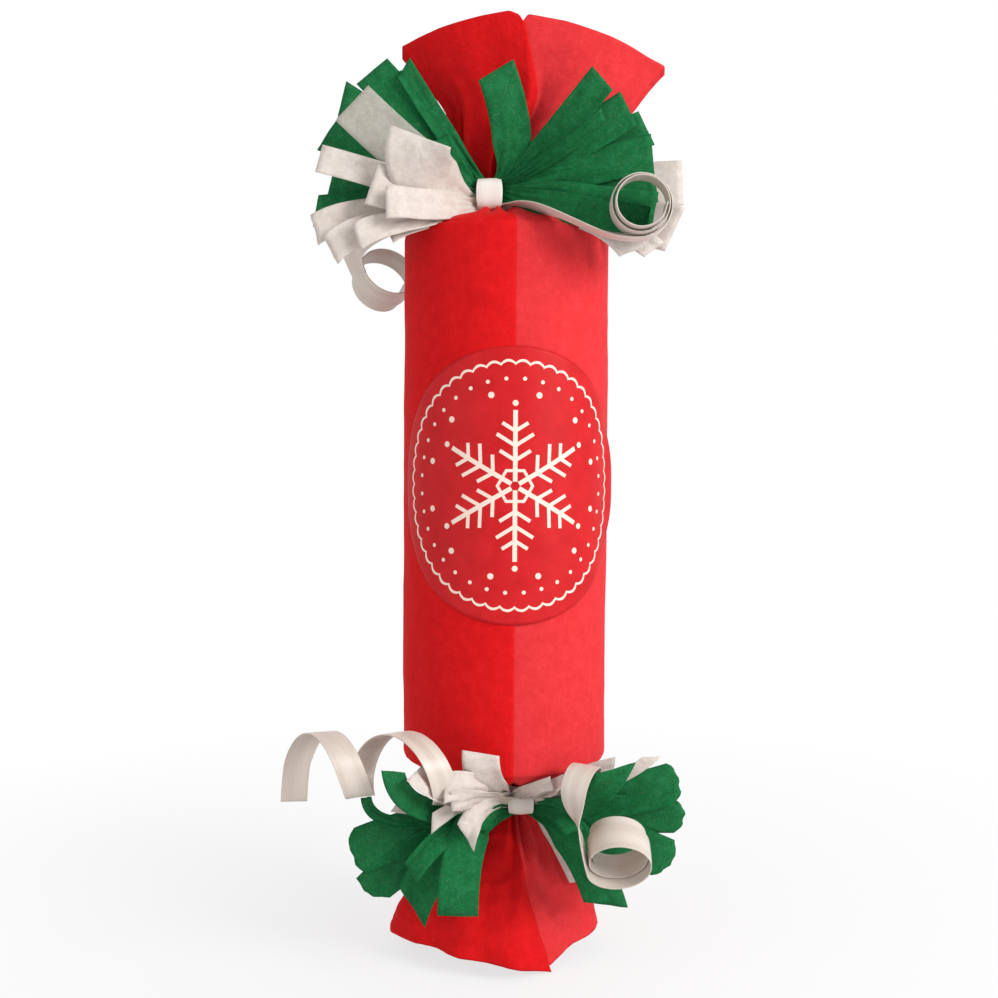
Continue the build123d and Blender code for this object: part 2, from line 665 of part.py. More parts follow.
# Spinning top in the middle, its point on the snap strip: a ten sided body and a stem pressed into it
top_radius = bore_radius - 2 * max(order) - 3 * fit_gap
top_tip = lower_neck_top + 3.5 + snap_wall + fit_gap
stem_radius = top_radius * 0.2
top_profile = [(0.0, 0.08), (0.34, 1.0), (0.46, 1.0), (0.56, 0.5)]
with BuildPart() as top_body:
    add(
        creased(
            [facet_ring(0, 0, top_tip + top_height * rise, top_radius * share, top_sides) for rise, share in top_profile]
        )
    )
    with BuildSketch(Plane.XY.offset(top_tip + top_height * 0.41)):
        RegularPolygon(stem_radius + close_gap / 2, top_sides)
    extrude(amount=top_height * 0.15, mode=Mode.SUBTRACT)
top_body.part.label = "top_body"
export_step(top_body.part, "parts/top_body.step")

with BuildPart() as top_stem:
    with BuildSketch(Plane.XY.offset(top_tip + top_height * 0.41 + close_gap)):
        RegularPolygon(stem_radius, top_sides)
    extrude(amount=top_height * 0.59)
    chamfer(top_stem.faces().sort_by(Axis.Z)[-1].edges(), stem_radius * 0.4)
top_stem.part.label = "top_stem"
export_step(top_stem.part, "parts/top_stem.step")
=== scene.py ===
import math

import bpy
from mathutils import Matrix, Vector, noise


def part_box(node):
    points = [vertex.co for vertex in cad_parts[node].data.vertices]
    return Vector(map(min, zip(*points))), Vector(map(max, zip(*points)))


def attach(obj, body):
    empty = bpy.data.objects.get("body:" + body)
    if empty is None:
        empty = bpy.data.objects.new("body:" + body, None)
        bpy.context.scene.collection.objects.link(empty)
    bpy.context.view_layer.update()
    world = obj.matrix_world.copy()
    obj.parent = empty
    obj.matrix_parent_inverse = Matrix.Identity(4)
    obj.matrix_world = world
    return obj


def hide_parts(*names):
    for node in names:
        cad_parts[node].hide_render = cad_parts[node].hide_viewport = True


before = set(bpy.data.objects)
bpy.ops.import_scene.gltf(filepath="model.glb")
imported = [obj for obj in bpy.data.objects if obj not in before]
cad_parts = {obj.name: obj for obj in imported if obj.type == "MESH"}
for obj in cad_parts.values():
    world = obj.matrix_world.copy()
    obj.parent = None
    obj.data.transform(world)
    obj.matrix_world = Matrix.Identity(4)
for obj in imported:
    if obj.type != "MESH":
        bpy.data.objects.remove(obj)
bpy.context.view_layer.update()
scene = bpy.context.scene
scene.view_settings.view_transform = "Standard"
MM = 0.001

# Camera at the photograph's place, in millimetres and in pixels of a 998 pixel image
CAMERA_BACK = 370.4
CAMERA_HEIGHT = 147.7
PITCH = math.radians(2.4)
ROLL = math.radians(0.34)
FOCUS = 1248.0
IMAGE = 998.0
MIDDLE_X = 505.6
MIDDLE_Y = 499.0
SENSOR = 36.0
camera_data = bpy.data.cameras.new("camera")
camera_data.sensor_width = SENSOR
camera_data.lens = FOCUS * SENSOR / IMAGE
camera_data.shift_x = (IMAGE / 2 - MIDDLE_X) / IMAGE
camera = bpy.data.objects.new("camera", camera_data)
camera.location = (0, -CAMERA_BACK * MM, CAMERA_HEIGHT * MM)
camera.rotation_euler = (math.pi / 2 - PITCH, -ROLL, 0)
scene.collection.objects.link(camera)
scene.camera = camera


def spot(px, py, depth):
    """The point in millimetres that the camera sees at a pixel, at a depth on the Y axis."""
    du, dv = px - MIDDLE_X, py - MIDDLE_Y
    cr, sr = math.cos(ROLL), -math.sin(ROLL)
    du, dv = cr * du - sr * dv, sr * du + cr * dv
    right, up = du / FOCUS, -dv / FOCUS
    c, s = math.cos(PITCH), math.sin(PITCH)
    forward, rise = c + up * s, up * c - s
    reach = (depth + CAMERA_BACK) / forward
    return Vector((right * reach, depth, CAMERA_HEIGHT + rise * reach))


def smooth(low, high, x):
    t = min(1.0, max(0.0, (x - low) / (high - low)))
    return t * t * (3 - 2 * t)


def mix(a, b, t):
    return a + (b - a) * t


def polar(angle, reach, z, x=0.0, y=0.0):
    """The point at an angle and reach round an upright axis at x and y."""
    return Vector((x + reach * math.cos(angle), y + reach * math.sin(angle), z))


# Materials


class Tree:
    """The node tree of a material or world, with short ways to add to it."""

    def __init__(self, owner):
        owner.use_nodes = True
        self.nodes = owner.node_tree.nodes
        self.links = owner.node_tree.links

    def fill(self, node, values):
        """Sets or links the inputs of a node, by name or number."""
        for key, value in values.items():
            if isinstance(value, bpy.types.NodeSocket):
                self.links.new(value, node.inputs[key])
            else:
                node.inputs[key].default_value = value
        return node

    def add(self, kind, values, operation=None):
        node = self.nodes.new("ShaderNode" + kind)
        if operation:
            node.operation = operation
        return self.fill(node, values)

    def maths(self, operation, *values):
        return self.add("Math", dict(enumerate(values)), operation).outputs[0]

    def coords(self, scale=(1, 1, 1), source="Object"):
        place = self.add("TexCoord", {})
        return self.add("Mapping", {"Vector": place.outputs[source], "Scale": scale}).outputs["Vector"]

    def noise(self, vector, scale, detail=3.0, rough=0.6, distortion=0.0):
        values = {"Vector": vector, "Scale": scale, "Detail": detail}
        values |= {"Roughness": rough, "Distortion": distortion}
        return self.add("TexNoise", values).outputs["Fac"]

    def cells(self, vector, scale):
        """Distance to the nearest edge in a pattern of cells."""
        node = self.nodes.new("ShaderNodeTexVoronoi")
        node.feature = "DISTANCE_TO_EDGE"
        return self.fill(node, {"Vector": vector, "Scale": scale}).outputs["Distance"]

    def span(self, value, low, high):
        """A value's share of the way from low to high, kept within 0 and 1."""
        return self.add("MapRange", {"Value": value, "From Min": low, "From Max": high}).outputs["Result"]

    def ramp(self, fac, stops):
        node = self.add("ValToRGB", {"Fac": fac})
        elements = node.color_ramp.elements
        while len(elements) < len(stops):
            elements.new(0.5)
        for element, (place, colour) in zip(elements, stops):
            element.position = place
            element.color = (*colour, 1.0)
        return node.outputs["Color"]

    def blend(self, fac, a, b, mode="MIX"):
        node = self.nodes.new("ShaderNodeMix")
        node.data_type = "RGBA"
        node.blend_type = mode
        return self.fill(node, {0: fac, 6: a, 7: b}).outputs[2]

    def bump(self, bsdf, height, strength, distance, below=None):
        values = {"Strength": strength, "Distance": distance, "Height": height}
        if below is not None:
            values["Normal"] = below
        normal = self.add("Bump", values).outputs["Normal"]
        self.links.new(normal, bsdf.inputs["Normal"])
        return normal


def new_material(name):
    material = bpy.data.materials.new(name)
    tree = Tree(material)
    return material, tree, tree.nodes["Principled BSDF"]


def grey(value):
    return value, value, value


CLOUD_STOPS = (0.25, 0.5, 0.75)


def tissue(name, colours, fibre=1.0, crease=0.35, alpha=1.0, single=None, speck=None):
    """Tissue paper: cloudy mottling, short fibres both ways, fine creases.
    Colours are dark, middle and light. Single gives lighter ones for the part of a sheet away from its lap,
    where it is one layer and painted lighter, as lit from the right; with single, the colours stay on the lap
    and the stretch before it, partly two layers and partly painted shade. Speck is the colour of bits in it."""
    material, tree, bsdf = new_material(name)
    plain = tree.coords()
    cloud = tree.noise(plain, 330, 6.0, 0.7, 0.4)
    up_fibre = tree.noise(tree.coords((2600, 2600, 420)), 1.0)
    side_fibre = tree.noise(tree.coords((480, 2600, 2600)), 1.0)
    fibres = tree.maths("MAXIMUM", up_fibre, side_fibre)
    body = tree.ramp(cloud, list(zip(CLOUD_STOPS, colours)))
    if single:
        across = tree.add("SeparateXYZ", {0: tree.coords(source="UV")}).outputs["X"]
        thin = tree.ramp(cloud, list(zip(CLOUD_STOPS, single)))
        # Below 0.6 of the sheet's UV x it takes the single colours: one layer, with painted light. Above 0.76
        # it keeps the darker colours: the lap and the stretch before it, with painted shade.
        body = tree.blend(tree.span(across, 0.6, 0.76), thin, body)
    if speck:
        dots = tree.noise(plain, 1900, 2.0, 0.5)
        spots = tree.ramp(dots, [(0.6, grey(0)), (0.72, grey(1))])
        body = tree.blend(spots, body, tree.ramp(cloud, [(0.3, speck), (0.7, colours[2])]))
    thread = tree.ramp(fibres, [(0.5, grey(0.8)), (0.62, grey(1)), (0.78, grey(1.25))])
    colour = tree.blend(fibre, body, thread, "MULTIPLY")
    tree.fill(bsdf, {
        "Base Color": colour, "Roughness": 0.78, "Specular IOR Level": 0.1, "Sheen Weight": 0.01,
        "Sheen Roughness": 0.45, "Sheen Tint": (1.0, 0.9, 0.88, 1.0), "Alpha": alpha,
    })
    warp = tree.noise(plain, 60, 3.0, 0.5)
    shifted = tree.add("VectorMath", {0: warp, 1: grey(0.03), 2: plain}, "MULTIPLY_ADD").outputs[0]
    ridge = tree.maths("MINIMUM", tree.cells(shifted, 95.0), 0.12)
    soft = tree.noise(plain, 140, 4.0, 0.6, 0.4)
    first = tree.bump(bsdf, tree.maths("MULTIPLY_ADD", ridge, 3.0, soft), crease, 0.0009)
    tree.bump(bsdf, fibres, 0.12, 0.0002, first)
    return material


def satin(name, base, shade):
    """Satin ribbon: fine lines along its length and a soft gloss."""
    material, tree, bsdf = new_material(name)
    lines = tree.noise(tree.coords((26.0, 900.0, 1.0), "UV"), 1.0)
    clouds = tree.noise(tree.coords((1.2, 14.0, 1.0), "UV"), 2.0, 3.0, 0.5)
    body = tree.ramp(clouds, [(0.35, shade), (0.6, base)])
    thread = tree.ramp(lines, [(0.35, grey(0.93)), (0.65, grey(1.03))])
    gloss = tree.ramp(lines, [(0.3, grey(0.3)), (0.7, grey(0.44))])
    colour = tree.blend(1.0, body, thread, "MULTIPLY")
    tree.fill(bsdf, {
        "Base Color": colour, "Roughness": gloss, "Specular IOR Level": 0.55, "Sheen Weight": 0.2,
        "Anisotropic": 0.4,
    })
    tree.bump(bsdf, lines, 0.18, 0.00015)
    return material


def paper(name, dark, light):
    """Plain card or paper with short fibres."""
    material, tree, bsdf = new_material(name)
    plain = tree.coords()
    fine = tree.noise(plain, 900.0, 5.0, 0.65)
    wide = tree.noise(plain, 100.0, 3.0, 0.5)
    spread = tree.maths("MULTIPLY_ADD", wide, 0.5, tree.maths("MULTIPLY", fine, 0.5))
    tree.fill(bsdf, {"Base Color": tree.ramp(spread, [(0.35, dark), (0.65, light)]), "Roughness": 0.75})
    tree.bump(bsdf, fine, 0.15, 0.0002)
    return material


def wood(name, dark, light):
    """Turned wood with rings along the stem and fine pores."""
    material, tree, bsdf = new_material(name)
    rings = tree.noise(tree.coords((260, 260, 30)), 1.0, 6.0, 0.6, 1.5)
    pores = tree.noise(tree.coords((1500, 1500, 160)), 1.0, 2.0, 0.5)
    body = tree.ramp(rings, [(0.3, dark), (0.52, light), (0.7, dark)])
    dots = tree.ramp(pores, [(0.32, grey(0.6)), (0.45, grey(1))])
    tree.fill(bsdf, {"Base Color": tree.blend(0.6, body, dots, "MULTIPLY"), "Roughness": 0.5})
    tree.bump(bsdf, pores, 0.15, 0.0002)
    return material


def film(name, dark, light):
    """Glossy wrapping film with fine sharp creases."""
    material, tree, bsdf = new_material(name)
    plain = tree.coords()
    body = tree.ramp(tree.noise(plain, 260, 3.0, 0.5), [(0.35, dark), (0.65, light)])
    tree.fill(bsdf, {"Base Color": body, "Roughness": 0.22, "Metallic": 0.35})
    tree.bump(bsdf, tree.cells(plain, 330.0), 0.35, 0.0006)
    return material


# Two copies of the red tissue. The first is darker and stands on the lap and the sheet's left side beyond it:
# partly two layers, partly painted shade. The second is lighter and pinker and stands on the one-layer right
# side: partly one layer, partly painted light and sheen from the right.
RED = ((0.58, 0.004, 0.005), (0.65, 0.006, 0.008), (0.72, 0.010, 0.012))
RED_SINGLE_LIT = ((0.62, 0.024, 0.028), (0.68, 0.032, 0.037), (0.74, 0.042, 0.048))
GREEN = ((0.005, 0.112, 0.031), (0.009, 0.152, 0.046), (0.020, 0.205, 0.07))
WHITE = ((0.62, 0.54, 0.48), (0.72, 0.64, 0.58), (0.80, 0.73, 0.68))
GREEN_SPECK = (0.10, 0.16, 0.05)
GOLD = ((0.62, 0.36, 0.03), (0.78, 0.5, 0.06), (0.86, 0.6, 0.12))
red_tissue = tissue("red_tissue_paper", RED, fibre=0.35, crease=0.2, single=RED_SINGLE_LIT)
wrap_red = tissue("red_tissue_wrap", RED, fibre=0.3, crease=0.07, single=RED_SINGLE_LIT)
green_tissue = tissue("green_tissue_paper", GREEN, fibre=0.8, crease=0.16, alpha=0.95, speck=GREEN_SPECK)
white_tissue = tissue("white_tissue_paper", WHITE, fibre=0.3, crease=0.2, alpha=0.86)
thin_tissue = tissue("white_tissue_single", WHITE, fibre=0.5, crease=0.2, alpha=0.4)
crown_tissue = tissue("gold_tissue_paper", GOLD, crease=0.3)
cream_satin = satin("cream_satin", (0.66, 0.58, 0.51), (0.57, 0.49, 0.42))
# The knot and the tie's ring are the same ribbon as the curls. This lighter copy of the cream satin is a
# painted highlight on them.
knot_satin_painted_highlight = satin("knot_satin_painted_highlight", (0.84, 0.79, 0.74), (0.74, 0.68, 0.62))
tube_card = paper("grey_card", (0.36, 0.27, 0.18), (0.5, 0.39, 0.27))
snap_card = paper("snap_card", (0.62, 0.58, 0.5), (0.74, 0.7, 0.62))
band_paper = paper("band_paper", (0.72, 0.69, 0.62), (0.84, 0.81, 0.75))
slip_paper = paper("slip_paper", (0.78, 0.75, 0.68), (0.88, 0.86, 0.8))
red_film = film("red_film", (0.42, 0.01, 0.02), (0.6, 0.03, 0.05))
green_film = film("green_film", (0.02, 0.24, 0.06), (0.05, 0.4, 0.12))
gold_film = film("gold_film", (0.52, 0.3, 0.04), (0.72, 0.47, 0.1))
top_wood = wood("turned_wood", (0.42, 0.2, 0.07), (0.62, 0.36, 0.15))
die_wood = wood("pale_wood", (0.58, 0.42, 0.24), (0.74, 0.58, 0.37))


# Meshes


def mesh_piece(name, points, faces, material, body, replaced, uvs=None, thick=0.0):
    """A mesh from points in millimetres that rides on a body and stands for CAD nodes."""
    mesh = bpy.data.meshes.new(name)
    mesh.from_pydata([Vector(p) * MM for p in points], [], faces)
    mesh.update()
    mesh.polygons.foreach_set("use_smooth", [True] * len(mesh.polygons))
    if uvs is not None:
        layer = mesh.uv_layers.new(name="UVMap")
        for loop in mesh.loops:
            layer.data[loop.index].uv = uvs[loop.vertex_index]
    mesh.materials.append(material)
    piece = bpy.data.objects.new(name, mesh)
    scene.collection.objects.link(piece)
    if thick:
        solid = piece.modifiers.new("thickness", "SOLIDIFY")
        solid.thickness = thick * MM
        solid.offset = 0.0
    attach(piece, body)
    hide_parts(*replaced)
    return piece


def grid_faces(rows, columns, closed=False, start=0, looped=False):
    """The faces of a grid of points. Closed joins its last column to its first, and looped its last row."""
    faces = []
    for i in range(rows if looped else rows - 1):
        a, b = start + i * columns, start + (i + 1) % rows * columns
        for j in range(columns if closed else columns - 1):
            k = (j + 1) % columns
            faces.append((a + j, a + k, b + k, b + j))
    return faces


# Ribbon curls: each spline runs through its lead's points and the turns of its coil
RIBBON_WIDTH = 7.4
RIBBON_WALL = 0.28
RIBBON_DISH = 0.12
COIL_STEPS = 14
SPLINE_REACH = 1.015


def route(*places):
    return [Vector(place) for place in places]


def band_rim(edge, quarter):
    """The outline of a flat band's section: shares of its half width and of its wall."""
    across = [-1.0, -edge, -quarter, 0.0, quarter, edge, 1.0]
    return [(s, 0.5) for s in across] + [(s, -0.5) for s in reversed(across)]


def band_uv(run, s):
    return run * MM * 10, (s + 1) / 2 * 0.1


def coil_points(centre, axis, zero, start, turns, radius, end_radius, pitch, drift=None):
    """Points of a coil in the plane across its axis, which moves along the drift by its pitch each turn.
    Their reach is a little more than the radius, since the spline runs inside its control points."""
    axis = Vector(axis).normalized()
    drift = Vector(drift).normalized() if drift else axis
    zero = Vector(zero)
    zero = (zero - axis * zero.dot(axis)).normalized()
    quarter = axis.cross(zero)
    steps = round(abs(turns) * COIL_STEPS)
    points = []
    for i in range(steps + 1):
        share = i / steps
        angle = math.radians(start) + 2 * math.pi * turns * share
        reach = mix(radius, end_radius, share) * SPLINE_REACH
        arm = zero * math.cos(angle) + quarter * math.sin(angle)
        points.append(Vector(centre) + drift * (pitch * abs(turns) * share) + arm * reach)
    return points


def route_line(name, points):
    """Points along the smooth spline that has the route's points as its control points."""
    curve = bpy.data.curves.new(name + "_route", "CURVE")
    curve.dimensions = "3D"
    curve.resolution_u = 6
    spline = curve.splines.new("NURBS")
    spline.points.add(len(points) - 1)
    for control, point in zip(spline.points, points):
        control.co = (*(point * MM), 1.0)
    spline.order_u = 3
    spline.use_endpoint_u = True
    carrier = bpy.data.objects.new(name + "_route", curve)
    scene.collection.objects.link(carrier)
    bpy.context.view_layer.update()
    line = bpy.data.meshes.new_from_object(carrier)
    found = [vertex.co.copy() / MM for vertex in line.vertices]
    bpy.data.objects.remove(carrier)
    bpy.data.curves.remove(curve)
    bpy.data.meshes.remove(line)
    return found


def ribbon(part, side_name, points, wides):
    """A flat satin ribbon along a route. Each of wides is a share of the route with its width's direction.
    Before the first share, the width is carried back along the lead without a twist."""
    name = f"{part}_{side_name}_ribbon"
    line = route_line(name, points)
    count = len(line)
    tangents = [(line[min(count - 1, i + 1)] - line[max(0, i - 1)]).normalized() for i in range(count)]
    wides = [(share, Vector(way).normalized()) for share, way in wides]
    rim = band_rim(0.98, 0.5)
    sides = [None] * count
    wide = wides[-1][1]
    for i in reversed(range(count)):
        share = i / (count - 1)
        for (s0, w0), (s1, w1) in zip(wides, wides[1:]):
            if s0 <= share < s1:
                wide = w0.lerp(w1, smooth(s0, s1, share))
        if share < wides[0][0]:
            wide = sides[i + 1]
        sides[i] = (wide - tangents[i] * wide.dot(tangents[i])).normalized()
    vertices, uvs, run = [], [], 0.0
    for i, point in enumerate(line):
        side = sides[i]
        normal = tangents[i].cross(side)
        run += (point - line[max(0, i - 1)]).length
        for s, t in rim:
            dish = RIBBON_DISH * (1 - s * s)
            vertices.append(point + side * (s * RIBBON_WIDTH / 2) + normal * (t * RIBBON_WALL + dish))
            uvs.append(band_uv(run, s))
    around = len(rim)
    faces = grid_faces(count, around, closed=True)
    faces.append(tuple(range(around - 1, -1, -1)))
    last = (count - 1) * around
    faces.append(tuple(range(last, last + around)))
    node = f"{part}_{side_name}_curl"
    piece = mesh_piece(name, vertices, faces, cream_satin, f"{part}_end", [node], uvs)


FORWARD = (0, -1, 0)
LEFTWARD = (-1, 0, 0)
upper_right_route = route(
    (-1.3, -9.5, 216.0), (3.0, -14.0, 215.6), (7.5, -23.5, 213.8), (12.5, -31.5, 211.0), (20.0, -33.6, 207.2),
    (28.0, -34.0, 203.8),
)
upper_right_route += coil_points((35.4, -34.0, 211.9), FORWARD, LEFTWARD, 90, 2.25, 8.6, 6.4, 2.6)
ribbon("upper", "right", upper_right_route, [(0, FORWARD), (1, FORWARD)])

LEFT_LEAN = (-0.42, 0.78, -0.46)
upper_left_route = route(
    (-7.0, -11.5, 215.6), (-11.5, -13.2, 214.4), (-16.5, -16.6, 213.4), (-22.5, -20.0, 212.4),
    (-29.5, -20.0, 211.0), (-37.0, -15.5, 209.0), (-43.5, -6.0, 207.0), (-46.5, 3.0, 204.8),
)
upper_left_route += coil_points((-36.9, 15.0, 200.7), LEFT_LEAN, (0, 0, 1), -90, -1.5, 9.3, 7.9, 4.2)
ribbon("upper", "left", upper_left_route, [(0.32, LEFT_LEAN), (1.0, LEFT_LEAN)])

ARCH_RADIUS = 8.5
NEAR_TURN = (-0.82, -0.57, 0)
FAR_TURN = (-0.93, -0.36, 0)
DOWN = (0, 0, -1)
lower_left_route = route((1.3, -14.2, 44.4), (-2.0, -18.0, 45.6), (-5.5, -25.0, 48.2), (-11.0, -31.5, 51.6))
lower_left_route += coil_points(
    (-16.5, -36.0, 61.6), NEAR_TURN, DOWN, 0, 1.0, ARCH_RADIUS, ARCH_RADIUS, 22.0, LEFTWARD
)
far_turn = coil_points(
    (-38.5, -36.0, 61.6), FAR_TURN, DOWN, 0, 0.78, ARCH_RADIUS, ARCH_RADIUS, 20.0, LEFTWARD
)
lower_left_route += far_turn[1:]
tail = route((-0.6, 0.6, -4.0), (-0.9, 0.6, -8.0), (-1.0, 0.2, -11.0))
lower_left_route += [far_turn[-1] + hang for hang in tail]
ARCH_WIDES = [(0.2, NEAR_TURN), (0.5, NEAR_TURN), (0.68, FAR_TURN), (1.0, FAR_TURN)]
ribbon("lower", "left", lower_left_route, ARCH_WIDES)

RIGHT_LEAN = (0, -0.8, -0.6)
RIGHT_FACE = (0.95, -0.3, -0.1)
RIGHT_WIDES = [(0.08, RIGHT_FACE), (0.14, RIGHT_FACE), (0.24, RIGHT_LEAN), (1.0, RIGHT_LEAN)]
lower_right_route = route(
    (8.7, -14.5, 45.2), (13.0, -18.0, 46.0), (17.5, -22.5, 48.5), (20.0, -25.5, 52.5), (22.5, -28.5, 57.5),
    (23.5, -31.5, 61.0), (20.8, -36.0, 60.5), (18.6, -38.0, 55.5), (19.0, -39.0, 49.5), (20.8, -40.2, 43.5),
)
lower_right_route += coil_points((31.1, -40.3, 37.0), RIGHT_LEAN, LEFTWARD, 0, 2.1, 8.9, 7.3, -2.9)
ribbon("lower", "right", lower_right_route, RIGHT_WIDES)


# Wrap: one turn of tissue on the barrel, lapped at the front, turned over both rims
WRAP_RADIUS = 30.0
TUBE_BOTTOM = 56.6
TUBE_TOP = 209.0
LAP_END = 275.0
LAP_ARC = 50.0
LAP_LIFT = 0.27
WRAP_ROWS = 96
WRAP_COLUMNS = 300
WRAP_WALL = 0.1

# The turn over a rim: radius, and height above the tube's end
RIM_PROFILE = [(27.9, -0.35), (28.6, -0.42), (29.2, -0.35), (29.6, -0.05), (29.86, 0.5), (29.97, 1.2)]
RIM_HEIGHT = 2.0

# Soft folds of the barrel's paper: angle, height, half arc, half height, lean and lift
FOLDS = [
    (257.0, 199.0, 9.0, 2.0, 0.12, 0.8), (260.0, 189.5, 10.0, 2.2, -0.1, 1.0),
    (254.0, 181.5, 9.0, 2.0, 0.15, 0.7), (290.0, 75.0, 13.0, 2.8, 0.1, 0.5),
]


def folds(angle, z):
    """How far the soft folds lift the barrel's paper at a place."""
    total = 0.0
    for middle, height, arc, half, lean, lift in FOLDS:
        off = (angle - middle) / arc
        rise = (z - height - lean * (angle - middle)) / half
        total += lift * math.exp(-off * off - rise * rise)
    return total


def wrap_piece():
    low, high = TUBE_BOTTOM + RIM_HEIGHT, TUBE_TOP - RIM_HEIGHT
    profile = [(r, TUBE_BOTTOM + z) for r, z in RIM_PROFILE]
    profile += [(WRAP_RADIUS, mix(low, high, i / (WRAP_ROWS - 1))) for i in range(WRAP_ROWS)]
    profile += [(r, TUBE_TOP - z) for r, z in reversed(RIM_PROFILE)]
    angles = [LAP_END - LAP_ARC + (360.0 + LAP_ARC) * i / WRAP_COLUMNS for i in range(WRAP_COLUMNS + 1)]
    lap = LAP_END + 360.0 - LAP_ARC
    points, uvs = [], []
    for r, z in profile:
        rim = 1 - smooth(0, 26, min(z - TUBE_BOTTOM, TUBE_TOP - z))
        for angle in angles:
            a = math.radians(angle)
            layer = LAP_LIFT * smooth(lap - 8, lap + 6, angle)
            where = polar(a, 2.4, z * 0.05)
            dent = 0.3 * max(-0.4, noise.noise(where)) + 0.12 * (1 - abs(noise.noise(where * 1.3))) ** 6
            pucker = rim * 0.16 * noise.noise(polar(a, 5.5, z * 0.02))
            relief = dent + folds(angle % 360.0, z) + pucker
            reach = r - 0.12 + layer + relief * smooth(28.0, 29.9, r)
            points.append(polar(a, reach, z))
            uvs.append(((angle - angles[0]) / (360.0 + LAP_ARC), z / 300.0))
    faces = grid_faces(len(profile), len(angles))
    piece = mesh_piece(
        "barrel_tissue", points, faces, wrap_red, "barrel", ["wrapper_sleeve"], uvs, WRAP_WALL
    )


wrap_piece()


# Gathered ends: the same sheet beyond each rim, pulled in at the neck and spread again
def table_value(table, x):
    """The height of a broken line of points at x, level beyond its ends."""
    for (x0, y0), (x1, y1) in zip(table, table[1:]):
        if x <= x1:
            return mix(y0, y1, (x - x0) / (x1 - x0)) if x > x0 else y0
    return table[-1][1]


def waves(turn, seed, counts):
    """A sum of cosines, each with its count in a whole turn and its share."""
    phase = seed * 1.7
    return sum(share * math.cos(turn * count + phase + 2.3 * i) for i, (count, share) in enumerate(counts))


COLUMNS = 396
OVERLAP = 34.0
PLEATS = 22
END_ROWS = 44
SHOULDER_ROWS = 22
SHOULDER_RADIUS = 28.5
SHOULDER_END = 7.2
NECK_ROWS = 6
NECK_RADIUS = 5.4
NECK_PLEAT = 2.6
NECK_SHIFT = 2.0
WAIST = 5.9
END_WALL = 0.12


def pleat(u, seed):
    """Height of a sharp pleat from -1 to 1, the pleats of uneven width."""
    turn = 2 * math.pi * u
    place = u * PLEATS + 0.45 * math.sin(turn * 3 + seed) + 0.3 * math.sin(turn * 7 + 2 * seed)
    tooth = abs(place % 1.0 - 0.5) * 4 - 1
    return tooth * (1 - 0.18 * abs(tooth)) * (0.8 + 0.2 * math.sin(5 * turn + seed))


def pouch(angle, out, middle, height, arc, half):
    """A pouch of paper below the knot: how far inside it a point is, and the lift of the crease round it."""
    distance = math.hypot((angle - middle) / arc, (out - height) / half)
    return 1 - smooth(0.7, 1.2, distance), 1.5 * math.exp(-(((distance - 1) / 0.16) ** 2))


def gathered_end(name, body, node, rows, seam, rim_height, seed, bulge=()):
    """A sheet from rows of height, centre x, half width, half depth, pleat, fold, crumple, reach from the
    neck, slope and how much the ends of the section come to a point. Its seam turns from one angle at the
    neck to another at the rim, and bulge is the place and size of a pouch."""
    points, uvs = [], []
    for i, (z, cx, rx, ry, fine, fold, crumple, out, slope, lens) in enumerate(rows):
        end = mix(seam[0], seam[1], out)
        for j in range(COLUMNS + 1):
            u = j / COLUMNS
            angle = end - (360.0 + OVERLAP) * (1 - u)
            a = math.radians(angle)
            layer = mix(0.35, 0.6, out) * (smooth(0.86, 0.97, u) - 1 + smooth(0.03, 0.12, u))
            broad = waves(a, seed, [(5, 0.5), (8, 0.35), (13, 0.25)])
            place = polar(a, 1.6, z * 0.085, seed)
            rough = noise.noise(place) + 0.5 * noise.noise(place * 2.3) + 0.3 * abs(noise.noise(place * 4.7))
            calm, crease = pouch(angle % 360.0, out, *bulge) if bulge else (0.0, 0.0)
            pleats = fine * (1 - 0.7 * calm) * pleat(angle / 360.0 % 1.0, seed)
            push = pleats + fold * broad + crumple * rough + layer + crease
            flatten = mix(1.0, abs(math.sin(a)), lens)
            push *= flatten
            height = z + rim_height(angle, u, out) + slope * push
            direction = Vector((math.cos(a) / rx, math.sin(a) / ry, 0)).normalized() * (1 - abs(slope))
            deep = ry * flatten * math.sin(a)
            points.append((cx + rx * math.cos(a) + direction.x * push, deep + direction.y * push, height))
            uvs.append((u, i / (len(rows) - 1)))
    faces = grid_faces(len(rows), COLUMNS + 1)
    piece = mesh_piece(name, points, faces, red_tissue, body, [node], uvs, END_WALL)


def neck_rows(edge, neck_top, neck_end, shift):
    """The shoulder from the tube's rim to the neck, and the neck."""
    way = math.copysign(1.0, neck_top - edge)
    rows = []
    for i in range(SHOULDER_ROWS):
        t = (i / (SHOULDER_ROWS - 1)) ** 1.4
        r = mix(SHOULDER_RADIUS, SHOULDER_END, t)
        z = edge + (neck_top - edge) * t**0.55
        fine = 2.0 * smooth(0.0, 0.6, t) * min(1.0, abs(z - edge) / 2.0)
        slope = way * 0.45 * (1 - smooth(0.6, 1.0, t))
        rows.append((z, shift * t, r, r, fine, 0.0, mix(0.1, 0.35, t), 0.0, slope, 0.0))
    for i in range(1, NECK_ROWS + 1):
        z = mix(neck_top, neck_end, i / NECK_ROWS)
        rows.append((z, shift, NECK_RADIUS, NECK_RADIUS, NECK_PLEAT, 0.0, 0.25, 0.0, 0.0, 0.0))
    return rows


# Fan
FAN_NECK = 216.3
FAN_BOTTOM = 223.1
FAN_TOP = 270.4
FAN_WIDE = 38.4
FAN_DEEP = 13.5
FAN_SHIFT = 7.5
FAN_SEAM = 266.0

# Drop of the fan's front rim by x, left of the seam and right of it
FAN_RIM = [(-36.0, -8.0), (-30.3, -5.6), (-20.0, -3.0), (-8.0, -0.9), (0.4, 0.0), (3.2, -1.2), (4.4, -3.2)]
FAN_RIGHT = [(4.0, -3.0), (5.6, -0.8), (16.0, -2.4), (29.2, -5.7), (45.3, -11.0), (52.0, -13.5)]


